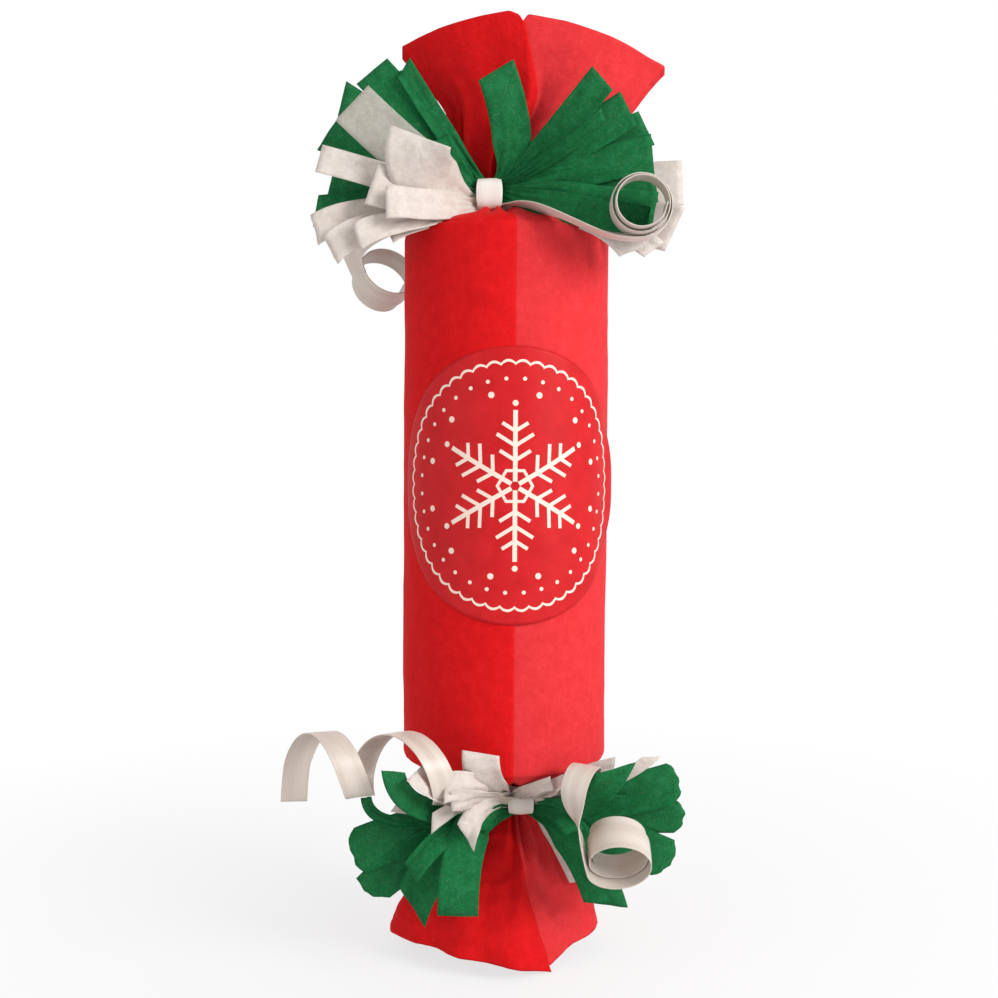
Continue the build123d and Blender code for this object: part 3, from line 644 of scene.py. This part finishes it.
def fan_rows():
    rows = neck_rows(TUBE_TOP, FAN_NECK, FAN_BOTTOM, -NECK_SHIFT)
    for i in range(1, END_ROWS + 1):
        t = i / END_ROWS
        z = mix(FAN_BOTTOM, FAN_TOP, t)
        cx = mix(mix(-NECK_SHIFT, 8.8, smooth(0, 0.62, t)), FAN_SHIFT, smooth(0.5, 1, t))
        rx = mix(WAIST, FAN_WIDE, t**0.8)
        ry = mix(WAIST, FAN_DEEP, t**0.8)
        fine = 2.5 * (1 - smooth(0.05, 0.85, t))
        fold = 1.5 * smooth(0, 0.4, t) * (1 - 0.6 * smooth(0.6, 1.0, t))
        rows.append((z, cx, rx, ry, fine, fold, mix(1.6, 0.3, t), t, 0.0, 0.92 * smooth(0.25, 0.95, t)))
    return rows


def fan_rim(angle, u, out):
    a = math.radians(angle)
    x = FAN_SHIFT + FAN_WIDE * math.cos(a)
    if math.sin(a) >= 0:
        drop = mix(-9.5, -3.0, smooth(0, 0.7, math.sin(a))) - 0.09 * max(0.0, x)
    else:
        drop = table_value(FAN_RIGHT if u < 0.5 else FAN_RIM, x)
    return drop * out**1.6


gathered_end(
    "upper_fan_tissue", "upper_end", "upper_frill", fan_rows(), (LAP_END, FAN_SEAM), fan_rim,
    seed=3,
)

# Skirt
SKIRT_NECK = 48.8
SKIRT_TOP = 40.8
SKIRT_RADIUS = 30.4
SKIRT_SHIFT = -3.0
SKIRT_SEAM = 303.0

# The skirt's pouch: angle, reach from the neck, half arc and half reach
SKIRT_POUCH = (258.0, 0.29, 24.0, 0.16)

# Lift of the skirt's rim by angle, left of the seam and right of it
SKIRT_RIM = [
    (130.0, 0.2), (160.0, 1.6), (184.0, 4.0), (205.0, 6.2), (228.0, 6.6), (257.0, 5.6), (275.0, 4.6),
    (303.0, 0.4),
]
SKIRT_RIGHT = [
    (262.0, 6.5), (290.0, 4.4), (303.0, 2.0), (323.0, 5.5), (344.0, 8.2), (362.0, 4.8), (385.0, 1.2),
    (410.0, 0.3), (490.0, 0.2),
]


def skirt_rows():
    rows = neck_rows(TUBE_BOTTOM, SKIRT_NECK, SKIRT_TOP, NECK_SHIFT)
    for i in range(1, END_ROWS + 1):
        t = i / END_ROWS
        z = mix(SKIRT_TOP, 0.0, t)
        cx = mix(NECK_SHIFT, SKIRT_SHIFT, smooth(0, 1, t))
        r = mix(WAIST, SKIRT_RADIUS, 1 - (1 - t) ** 1.7)
        fine = 2.5 * (1 - smooth(0.05, 0.85, t))
        rows.append((z, cx, r, r, fine, 1.5 * smooth(0, 0.5, t), 1.4, t, 0.0, 0.0))
    return rows


def skirt_rim(angle, u, out):
    lift = table_value(SKIRT_RIGHT, angle + 360.0) if u < 0.55 else table_value(SKIRT_RIM, angle)
    return lift * out**2


gathered_end(
    "lower_skirt_tissue", "lower_end", "lower_skirt", skirt_rows(), (LAP_END, SKIRT_SEAM), skirt_rim,
    seed=8, bulge=SKIRT_POUCH,
)


# Tassels: strips of tissue that leave the knot
ALONG = 30
ACROSS = 12
STRIP_WALL = 0.08
WAIST_Y = -11.25
ROOT_ASIDE = 1.8
ROOT_RISE = 1.2


def strip_points(
    root, handles, tip, width, roll, cut, seed, ragged=0.0, stem=0.35, twist=0.0, curl=0.0, wavy=1.0, bow=0.0
):
    """A strip along a bent centre line that widens from its pinched root, with pleats that fade along it.
    Stem is the share of its width at the root. Its end may be ragged, or bow out in the middle."""
    c1, c2 = handles
    reach = tip - root
    flat = Vector((-reach.z, 0, reach.x)).normalized()
    points = []
    for i in range(ALONG + 1):
        t = i / ALONG
        s = 1 - t
        centre = root * s**3 + c1 * (3 * s * s * t) + c2 * (3 * s * t * t) + tip * t**3
        tangent = ((c1 - root) * (s * s) + (c2 - c1) * (2 * s * t) + (tip - c2) * (t * t)).normalized()
        across = Vector((-tangent.z, 0, tangent.x))
        across = flat if across.length < 0.3 else across.normalized()
        side = across - tangent * across.dot(tangent)
        side = Matrix.Rotation(math.radians(roll + twist * t), 3, tangent) @ side.normalized()
        normal = tangent.cross(side)
        half = width / 2 * mix(stem, 1.0, smooth(0.0, 0.5, t))
        pinch = 1 - smooth(0.05, 0.7, t)
        for j in range(ACROSS + 1):
            u = 2 * j / ACROSS - 1
            ridge = abs((u * 1.6 + seed * 0.37) % 1.0 - 0.5) * 2 - 0.5
            place = Vector((u * 0.9, t * 2.2, seed * 3.1))
            wave = noise.noise(place) * 1.1 * smooth(0.1, 0.7, t) + noise.noise(place * 2.9) * 0.35
            rough = abs(noise.noise(Vector((u * 1.3 + seed, t * 0.6, seed * 0.7))))
            crease = 0.5 * rough * smooth(0.2, 0.8, t)
            off = ridge * 1.5 * pinch * smooth(0.02, 0.16, t) + (wave + crease) * wavy
            off += curl * smooth(0.5, 1.0, t) ** 2
            tear = ragged * noise.noise(Vector((u * 2.6, seed * 1.9, 0.5))) * smooth(0.75, 1.0, t)
            end = cut * u * half + tear - bow * half * abs(u) ** 2.5
            points.append(centre + side * (u * half) + normal * off + tangent * (end * t**2))
    return points


def tassel_piece(part, colour, material, knot, strips):
    points, faces, single, area = [], [], [], 0.0
    for seed, (tip_at, pixels, first, second, roll, cut, *extra) in enumerate(strips):
        extra = dict(*extra)
        thin = extra.pop("thin", 0)
        tip, c1, c2 = spot(*tip_at), spot(*first), spot(*second)
        width = pixels * (CAMERA_BACK + tip_at[2]) / FOCUS
        aside = math.copysign(ROOT_ASIDE, c1.x - knot.x)
        root = knot + Vector((aside, 0, ROOT_RISE * (tip - knot).normalized().z))
        faces += grid_faces(ALONG + 1, ACROSS + 1, start=len(points))
        single += [thin] * (ALONG * ACROSS)
        points += strip_points(root, (c1, c2), tip, width, roll, cut, seed + 1, **extra)
        area += width * (tip - root).length * MM * MM
    name, slot, node = f"{part}_{colour}_tissue", f"{colour}_tissue", f"{part}_{colour}_tassel"
    piece = mesh_piece(name, points, faces, material, f"{part}_end", [node], None, STRIP_WALL)
    if any(single):
        piece.data.materials.append(thin_tissue)
        piece.data.polygons.foreach_set("material_index", single)


# Each strip's row has its tip's pixel and depth, its width in pixels, its two handles as pixels with depths,
# its roll in degrees, the slant of its cut end, and what else it sets in strip_points. Thin is a single layer
UPPER_GREEN = [
    ((496, 70, -20), 40, (522, 162, -14), (512, 112, -18), 4, -0.16, {"stem": 0.32}),
    ((603, 78, -24), 31, (540, 163, -15), (572, 116, -22), -6, 0.15, {"stem": 0.4}),
    ((603, 113, -29), 20, (535, 172, -17), (570, 150, -26), 48, 0.3, {"twist": 10.0}),
    ((629, 108, -22), 38, (535, 168, -15), (585, 138, -20), -8, 0.1),
    ((647, 128, -21), 36, (535, 174, -15), (590, 152, -19), 6, -0.1),
    ((653, 153, -22), 38, (535, 180, -16), (590, 168, -20), -8, 0.12),
    ((656, 182, -22), 40, (535, 187, -16), (595, 186, -20), 7, -0.1),
    ((655, 212, -26), 40, (535, 196, -18), (595, 205, -27), -6, 0.1),
    ((648, 222, -30), 30, (530, 205, -19), (590, 211, -30), 4, 0.0, {"stem": 0.5}),
    ((436, 140, -17), 30, (466, 199, -15), (452, 172, -17), 6, 0.0, {"stem": 0.7}),
    ((404, 68, -18), 21, (462, 160, -14), (435, 118, -17), 8, -0.5, {"stem": 0.6}),
    ((372, 71, -17), 39, (455, 160, -14), (414, 116, -16), -5, 0.1),
    ((388, 76, -14), 30, (458, 158, -13), (420, 112, -14), 8, 0.3),
    ((342, 101, -16), 38, (450, 170, -14), (396, 136, -16), 6, -0.35),
    ((327, 135, -16), 34, (445, 178, -14), (385, 157, -16), -5, 0.25),
    ((330, 186, -15), 26, (445, 190, -14), (385, 189, -15), -8, 0.2),
    ((316, 211, -18), 32, (445, 198, -14), (380, 206, -17), 6, 0.25),
]
UPPER_WHITE = [
    ((352, 103, -23), 48, (446, 190, -15), (394, 143, -22), 4, 0.0, {"stem": 0.3, "wavy": 0.6, "thin": 1}),
    ((372, 186, -27), 46, (458, 206, -17), (415, 194, -27), 14, 0.1, {"curl": 1.5}),
    ((420, 135, -32), 66, (456, 208, -16), (404, 178, -31), -8, 0, {"curl": -1.5, "stem": 0.3, "wavy": 1.2}),
    ((319, 158, -25), 29, (442, 196, -16), (380, 174, -24), 8, 0.0, {"stem": 0.7, "wavy": 0.7}),
    ((319, 232, -23), 30, (432, 204, -18), (356, 206, -25), 26, 0.3, {"curl": 4, "twist": -24, "wavy": 1.3}),
    ((337, 252, -25), 30, (436, 210, -19), (372, 218, -28), 34, 0.2, {"curl": 4, "twist": -28, "wavy": 1.3}),
    ((360, 240, -29), 26, (446, 212, -20), (392, 218, -30), 20, 0.3, {"curl": 3, "twist": -12, "wavy": 1.3}),
    ((390, 236, -22), 28, (455, 207, -15), (424, 212, -21), 18, 0.2, {"curl": 2.0, "wavy": 1.3}),
    ((386, 205, -31), 34, (460, 205, -17), (422, 202, -30), 10, 0.1, {"curl": 2.0}),
    ((683, 183, -14), 46, (560, 190, -12), (620, 186, -13), -6, 0.0, {"wavy": 0.7}),
    ((675, 230, -17), 46, (560, 205, -14), (625, 216, -16), 8, 0.15, {"curl": 2.5}),
    ((632, 250, -28), 26, (530, 207, -15), (598, 206, -23), -16, 0.2, {"curl": -1.0, "twist": 8.0}),
    ((655, 248, -26), 26, (535, 205, -15), (610, 212, -23), -12, 0.2, {"curl": -1.0}),
]
LOWER_GREEN = [
    ((393, 771, -46), 24, (455, 816, -28), (402, 822, -44), 10, 0.4, {"twist": 10.0, "stem": 0.6}),
    ((366, 797, -29), 12, (440, 822, -22), (371, 838, -29), 30, 0.1, {"stem": 0.8}),
    ((352, 854, -26), 46, (455, 820, -20), (400, 832, -26), 8, 0.1, {"ragged": 1.4, "bow": 0.35}),
    ((369, 893, -25), 40, (460, 826, -20), (402, 858, -26), -10, -0.2, {"ragged": 1.4, "bow": 0.35}),
    ((412, 907, -28), 40, (468, 826, -22), (430, 858, -28), 6, 0.7),
    ((412, 873, -35), 23, (485, 806, -21), (446, 824, -36), 26, 0.2, {"stem": 0.6}),
    ((458, 916, -38), 42, (480, 804, -21), (459, 826, -37), -4, 0.05, {"stem": 0.5, "wavy": 0.6}),
    ((485, 832, -28), 26, (501, 804, -17), (484, 806, -28), 4, 0.0, {"stem": 0.7, "wavy": 0.4, "bow": 0.8}),
    ((616, 768, -36), 32, (566, 816, -24), (590, 812, -35), 8, -0.9, {"stem": 0.7}),
    ((681, 781, -25), 42, (560, 806, -18), (620, 800, -24), -8, 0.1, {"ragged": 1.0, "bow": 0.55}),
    ((684, 814, -24), 40, (560, 812, -18), (620, 814, -24), 9, -0.1, {"ragged": 1.0, "bow": 0.55}),
    ((672, 862, -25), 42, (560, 822, -19), (622, 838, -25), -8, 0.2, {"ragged": 0.8, "bow": 0.5}),
    ((606, 905, -28), 42, (562, 815, -20), (590, 852, -27), 6, 0.4),
    ((574, 832, -26), 22, (546, 804, -17), (564, 806, -26), -20, 0.2),
]
LOWER_WHITE = [
    ((481, 753, -37), 38, (494, 803, -20), (480, 786, -39), -4, 0.13, {"twist": 8.0, "wavy": 0.8}),
    ((410, 777, -44), 26, (474, 802, -22), (440, 798, -43), 36, 0.3, {"curl": 2, "twist": 16, "wavy": 1.4}),
    ((395, 806, -33), 12, (468, 806, -24), (430, 812, -33), 10, 0.5, {"stem": 0.8}),
    ((431, 820, -36), 18, (490, 802, -20), (456, 800, -36), -20, 0.9, {"curl": 2.0}),
    ((466, 838, -38), 24, (496, 802, -19), (474, 804, -38), 12, 0.9),
    ((444, 788, -43), 30, (499, 796, -18), (470, 780, -42), 22, 0.3, {"wavy": 1.8, "stem": 0.8, "curl": -2}),
    ((451, 801, -41), 26, (498, 800, -18), (474, 794, -41), -18, 0.2, {"wavy": 1.8, "stem": 0.8}),
    ((613, 769, -17), 24, (549, 791, -16), (580, 778, -19), -20, 0.3, {"curl": 2, "twist": 10, "wavy": 1.4}),
    ((588, 779, -30), 16, (549, 791, -17), (570, 783, -30), -30, 0.4, {"curl": 1.5, "wavy": 1.2}),
    ((552, 783, -31), 14, (513, 794, -19), (532, 789, -26), 0, 0.3, {"stem": 0.8, "wavy": 1.2}),
    ((566, 783, -32), 16, (545, 794, -18), (556, 784, -32), -30, 0.4, {"curl": 1.5, "wavy": 1.2}),
    ((652, 757, -24), 13, (560, 796, -18), (614, 790, -24), 12, -1.2),
    ((580, 882, -15), 20, (546, 812, -13), (562, 845, -15), 8, 0.3),
]
KNOT_X = 5.0
for part, colour, material, knot_x, knot_z, strips in (
    ("upper", "green", green_tissue, -KNOT_X, 220.95, UPPER_GREEN),
    ("upper", "white", white_tissue, -KNOT_X, 216.6, UPPER_WHITE),
    ("lower", "green", green_tissue, KNOT_X, 43.6, LOWER_GREEN),
    ("lower", "white", white_tissue, KNOT_X, 45.3, LOWER_WHITE),
):
    tassel_piece(part, colour, material, Vector((knot_x, WAIST_Y, knot_z)), strips)


# Ribbon ties: a band wound round the neck and an upright loop that pinches the tassel
UPPER_NECK = 219.1
LOWER_NECK = 44.8
TIE_WALL = 0.3
TIE_RADIUS = 8.45
RING_STEPS = 96
LOOP_STEPS = 72
LOOP_DEPTH = 4.4


def band_piece(points, faces, uvs, path, widths, wide):
    """Adds a closed band along a path, with its width along one direction and its face a little cupped."""
    rim = band_rim(0.96, 0.55)
    start, count = len(points), len(path)
    run = 0.0
    for i, point in enumerate(path):
        tangent = (path[(i + 1) % count] - path[i - 1]).normalized()
        side = (wide - tangent * wide.dot(tangent)).normalized()
        normal = tangent.cross(side)
        run += (point - path[i - 1]).length if i else 0.0
        for s, t in rim:
            cup = 0.25 * (1 - s * s) + 0.08 * math.sin(s * 9.0 + i * 0.15)
            points.append(point + side * (s * widths[i] / 2) + normal * (t * TIE_WALL + cup))
            uvs.append(band_uv(run, s))
    faces += grid_faces(count, len(rim), closed=True, start=start, looped=True)


def tie_piece(part, neck_x, knot_x, z, waist):
    """The tie of a neck. Its waist is half the height of the tassel that the loop goes round."""
    points, faces, uvs = [], [], []
    ring = []
    for i in range(RING_STEPS):
        a = 2 * math.pi * i / RING_STEPS
        reach = TIE_RADIUS + 0.1 * math.sin(5 * a + knot_x)
        rise = 0.25 * math.sin(2 * a + 1)
        ring.append(polar(a, reach, z + rise, neck_x))
    width = 2 * waist - 0.6
    widths = [width + 0.4 * math.sin(6 * math.pi * i / RING_STEPS) for i in range(RING_STEPS)]
    band_piece(points, faces, uvs, ring, widths, Vector((0, 0, 1)))
    loop = []
    for i in range(LOOP_STEPS):
        a = 2 * math.pi * i / LOOP_STEPS
        c, s = math.cos(a), math.sin(a)
        dy = LOOP_DEPTH * math.copysign(abs(c) ** 0.55, c)
        dz = (waist + 0.9) * math.copysign(abs(s) ** 0.75, s)
        loop.append(Vector((knot_x, WAIST_Y + dy, z + dz)))
    swell = [0.93 + 0.07 * math.cos(4 * math.pi * i / LOOP_STEPS) for i in range(LOOP_STEPS)]
    band_piece(points, faces, uvs, loop, [RIBBON_WIDTH * share for share in swell], Vector((1, 0, 0)))
    name, node = f"{part}_ribbon_knot", f"{part}_ribbon_tie"
    # The tie uses the lighter satin, a painted highlight on the knot and its ring.
    mesh_piece(name, points, faces, knot_satin_painted_highlight, f"{part}_end", [node], uvs)


tie_piece("upper", -NECK_SHIFT, -KNOT_X, UPPER_NECK, waist=3.4)
tie_piece("lower", NECK_SHIFT, KNOT_X, LOWER_NECK, waist=2.1)


# Label: a round sticker with a scalloped line, a ring of dots and a snow crystal
LABEL_RADIUS = 38.1
LABEL_TURN = 5.0
LABEL_HEIGHT = (TUBE_BOTTOM + TUBE_TOP) / 2 + 4.2
LABEL_REACH = 30.5
LABEL_BEND = 30.45
LABEL_CURL = 1.1
LABEL_WALL = 0.16


def label_material():
    material, tree, bsdf = new_material("label_print")
    op = tree.maths

    def line(distance, half):
        return tree.span(distance, half + 0.05, half - 0.05)

    def hypot(x, y):
        return op("SQRT", op("ADD", op("MULTIPLY", x, x), op("MULTIPLY", y, y)))

    split = tree.add("SeparateXYZ", {"Vector": tree.add("UVMap", {}).outputs["UV"]})
    x, y = (op("MULTIPLY", op("SUBTRACT", split.outputs[way], 0.5), 2 * LABEL_RADIUS) for way in "XY")
    reach = hypot(x, y)
    angle = op("ARCTAN2", y, x)
    bulge = op("ABSOLUTE", op("SINE", op("MULTIPLY", angle, 26.0)))
    scallop = op("ADD", op("POWER", bulge, 0.8), 33.2)
    marks = line(op("ABSOLUTE", op("SUBTRACT", reach, scallop)), 0.36)

    def folded(count, offset=0.0):
        """Place along and across the middle line of one of so many equal sectors."""
        sector = 2 * math.pi / count
        turn = op("ADD", angle, offset + 8 * math.pi)
        inside = op("ABSOLUTE", op("SUBTRACT", op("FLOORED_MODULO", turn, sector), sector / 2))
        return op("MULTIPLY", reach, op("COSINE", inside)), op("MULTIPLY", reach, op("SINE", inside))

    def dots(count, radius, size):
        dx, dy = folded(count)
        return line(hypot(op("SUBTRACT", dx, radius), dy), size)

    along, side = folded(6, math.pi / 3)

    def twig(start, length, slope, half):
        c, s = math.cos(math.radians(slope)), math.sin(math.radians(slope))
        shifted = op("SUBTRACT", along, start)
        run = op("ADD", op("MULTIPLY", shifted, c), op("MULTIPLY", side, s))
        off = op("ABSOLUTE", op("SUBTRACT", op("MULTIPLY", side, c), op("MULTIPLY", shifted, s)))
        over = op("MAXIMUM", op("MULTIPLY", run, -1.0), op("SUBTRACT", run, length))
        return line(op("MAXIMUM", off, op("ADD", over, half)), half)

    pieces = [dots(36, 29.3, 0.55), dots(12, 25.6, 0.85), twig(1.2, 19.5, 0.0, 0.62)]
    pieces += [twig(7.0, 5.0, 58.0, 0.5), twig(11.0, 6.0, 58.0, 0.5), twig(15.0, 4.2, 58.0, 0.5)]
    pieces += [line(op("ABSOLUTE", op("SUBTRACT", along, 4.2)), 0.4), dots(6, 22.6, 0.8)]
    for piece in pieces:
        marks = op("MAXIMUM", marks, piece)
    plain = tree.coords()
    wear = tree.ramp(tree.noise(plain, 2400), [(0.3, grey(0.82)), (0.45, grey(1))])
    ink = tree.blend(1.0, (0.86, 0.70, 0.60, 1.0), wear, "MULTIPLY")
    cloud = tree.noise(plain, 180, 4.0, 0.6)
    ground = tree.ramp(cloud, [(0.3, (0.49, 0.007, 0.010)), (0.7, (0.59, 0.012, 0.016))])
    printed = tree.blend(marks, ground, ink)
    tree.fill(bsdf, {"Base Color": printed, "Roughness": 0.5, "Specular IOR Level": 0.16})
    tree.bump(bsdf, tree.noise(plain, 1500), 0.06, 0.0002)
    return material


def label_piece():
    rings, spokes = 40, 160
    points, uvs = [], []
    for i in range(1, rings + 1):
        reach = LABEL_RADIUS * i / rings
        for j in range(spokes):
            a = 2 * math.pi * j / spokes
            x, y = reach * math.cos(a), reach * math.sin(a)
            turn = math.radians(270.0 + LABEL_TURN) + x / LABEL_BEND
            lift = LABEL_CURL * smooth(0.86, 1.0, x / LABEL_RADIUS) ** 2
            lift += 0.05 * noise.noise(Vector((x, y, 0)) * 0.08)
            out = LABEL_REACH + lift
            points.append(polar(turn, out, LABEL_HEIGHT + y))
            uvs.append((x / LABEL_RADIUS / 2 + 0.5, y / LABEL_RADIUS / 2 + 0.5))
    faces = grid_faces(rings, spokes, closed=True)
    faces.append(tuple(range(spokes - 1, -1, -1)))
    mesh_piece(
        "front_label", points, [tuple(reversed(f)) for f in faces], label_material(), "barrel",
        ["label_sticker"], uvs, LABEL_WALL,
    )


label_piece()


# Contents: a rolled tissue crown with its paper band, a rolled slip and twist-wrapped sweets
CROWN_POINT = 20.0
BAND_START = -20.0
BAND_ARC = 395.0
BAND_WALL = 0.12
FILM_WALL = 0.06


def node_place(node):
    """Middle x and y, bottom, top and half width of a node, in millimetres."""
    low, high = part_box(node)
    low, high = Vector(low) / MM, Vector(high) / MM
    return (low.x + high.x) / 2, (low.y + high.y) / 2, low.z, high.z, (high.x - low.x) / 2


def roll_piece(name, node, material, inner, turns, depth):
    """A sheet rolled into a spiral. Its top edge is cut into points of that depth, none where it is zero."""
    cx, cy, bottom, top, outer = node_place(node)
    rows, steps = 9, round(turns * 26)
    points, length = [], math.pi * (inner + outer) * turns
    for i in range(rows):
        share = i / (rows - 1)
        for j in range(steps + 1):
            t = j / steps
            a = 2 * math.pi * turns * t
            reach = mix(inner, outer, t) - 0.1 + 0.05 * noise.noise(Vector((t * 40, share * 2, turns)))
            run = t * length / CROWN_POINT
            cut = depth * abs(run % 2.0 - 1.0)
            height = mix(bottom, top - cut, share)
            points.append(polar(a, reach, height, cx, cy))
    piece = mesh_piece(name, points, grid_faces(rows, steps + 1), material, "contents", [node])


def paper_ring(name, node, material):
    """A strip of paper glued into a ring, with its lap."""
    cx, cy, bottom, top, outer = node_place(node)
    rows, steps = 7, 80
    points = []
    for i in range(rows):
        height = mix(bottom, top, i / (rows - 1))
        for j in range(steps + 1):
            t = j / steps
            a = math.radians(BAND_START + BAND_ARC * t)
            rough = noise.noise(polar(a, 1.0, height))
            reach = outer - 0.32 + 0.22 * smooth(0.0, 0.2, t) + 0.05 * rough
            points.append(polar(a, reach, height, cx, cy))
    faces = grid_faces(rows, steps + 1)
    piece = mesh_piece(name, points, faces, material, "contents", [node], None, BAND_WALL)


# A sweet's radius along each half, from its middle to the end of its tail, as shares
SWEET_PROFILE = [
    (0.0, 1.0), (0.2, 0.98), (0.32, 0.9), (0.42, 0.68), (0.5, 0.36), (0.56, 0.28), (0.62, 0.32), (0.8, 0.6),
    (1.0, 0.86),
]


def sweet_piece(name, node, material, seed):
    """A round sweet in a film wrapper, twisted shut at both ends into pleated tails."""
    cx, cy, bottom, top, radius = node_place(node)
    rows, steps = 61, 72
    half = (top - bottom) / 2
    points = []
    for i in range(rows):
        s = 2 * i / (rows - 1) - 1
        tail = smooth(0.3, 0.95, abs(s))
        reach = radius * table_value(SWEET_PROFILE, abs(s))
        for j in range(steps):
            a = 2 * math.pi * j / steps
            fold = waves(a + 2.4 * s * tail, seed, [(9, 0.6), (14, 0.4)])
            crumple = noise.noise(polar(a, 2.2, s * 5 + seed * 3))
            out = reach * (1 + 0.16 * tail * fold + 0.03 * crumple)
            rim = 1.2 * smooth(0.85, 1.0, abs(s)) * waves(a, seed + 1, [(7, 0.6), (11, 0.4)])
            height = bottom + half * (1 + s) - math.copysign(0.5 + 0.5 * rim, s) * smooth(0.7, 1.0, abs(s))
            points.append(polar(a, out, height, cx, cy))
    faces = grid_faces(rows, steps, closed=True)
    piece = mesh_piece(name, points, faces, material, "contents", [node], None, FILM_WALL)


roll_piece("rolled_paper_crown", "paper_crown", crown_tissue, 2.6, 20, 14.0)
paper_ring("crown_paper_band", "crown_band", band_paper)
roll_piece("rolled_slip", "motto_slip", slip_paper, 1.4, 6.6, 0.0)
for i, (colour, wrapper) in enumerate((("red", red_film), ("green", green_film), ("gold", gold_film))):
    sweet_piece(f"wrapped_sweet_{i + 1}", f"sweet_{i + 1}", wrapper, i + 2)


# Floor, light and world
def seen_directly(tree):
    """One for rays that show the background as such, and zero for rays that light the part."""
    rays = tree.add("LightPath", {}).outputs
    seen = tree.maths("MAXIMUM", rays["Is Camera Ray"], rays["Is Glossy Ray"])
    return tree.maths("MAXIMUM", seen, rays["Is Transmission Ray"])


def lamp(name, energy, size, place, aim):
    data = bpy.data.lights.new(name, "AREA")
    data.energy = energy
    data.size = size
    lamp_object = bpy.data.objects.new(name, data)
    lamp_object.location = place
    lamp_object.rotation_euler = (Vector(aim) - Vector(place)).to_track_quat("-Z", "Y").to_euler()
    scene.collection.objects.link(lamp_object)


def studio():
    mesh = bpy.data.meshes.new("floor")
    side = 6.0
    corners = [(-side, -side, 0), (side, -side, 0), (side, side, 0), (-side, side, 0)]
    mesh.from_pydata(corners, [], [(0, 1, 2, 3)])
    floor = bpy.data.objects.new("floor", mesh)
    scene.collection.objects.link(floor)
    material, tree, bsdf = new_material("floor_white")
    tree.fill(bsdf, {"Base Color": (0.86, 0.86, 0.86, 1), "Roughness": 0.9})
    glow = tree.add("Emission", {})
    place = tree.add("TexCoord", {}).outputs["Object"]
    away = tree.add("VectorMath", {0: place}, "LENGTH").outputs["Value"]
    values = {"Value": away, "From Min": 0.05, "From Max": 0.3, "To Min": 0.72, "To Max": 1.0}
    fade = tree.add("MapRange", values).outputs["Result"]
    share = tree.maths("MULTIPLY", seen_directly(tree), fade)
    both = tree.add("MixShader", {0: share, 1: bsdf.outputs[0], 2: glow.outputs[0]})
    tree.fill(tree.nodes["Material Output"], {"Surface": both.outputs[0]})
    mesh.materials.append(material)
    scene.world = bpy.data.worlds.new("studio")
    tree = Tree(scene.world)
    strength = tree.maths("MULTIPLY_ADD", seen_directly(tree), 0.45, 0.55)
    tree.fill(tree.nodes["Background"], {"Strength": strength, "Color": (1, 1, 1, 1)})
    middle = (0, 0, 0.14)
    lamp("key", 9.0, 0.5, (0.75, -0.55, 0.55), middle)
    lamp("fill", 2.0, 0.8, (-0.8, -0.7, 0.35), middle)


studio()

# CAD nodes that stay, with better materials
for node, material in {
    "barrel_tube": tube_card, "upper_snap_strip": snap_card, "lower_snap_strip": snap_card,
    "snap_band": band_paper, "top_body": top_wood, "top_stem": top_wood, "wooden_die": die_wood,
}.items():
    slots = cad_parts[node].data.materials
    slots.clear()
    slots.append(material)
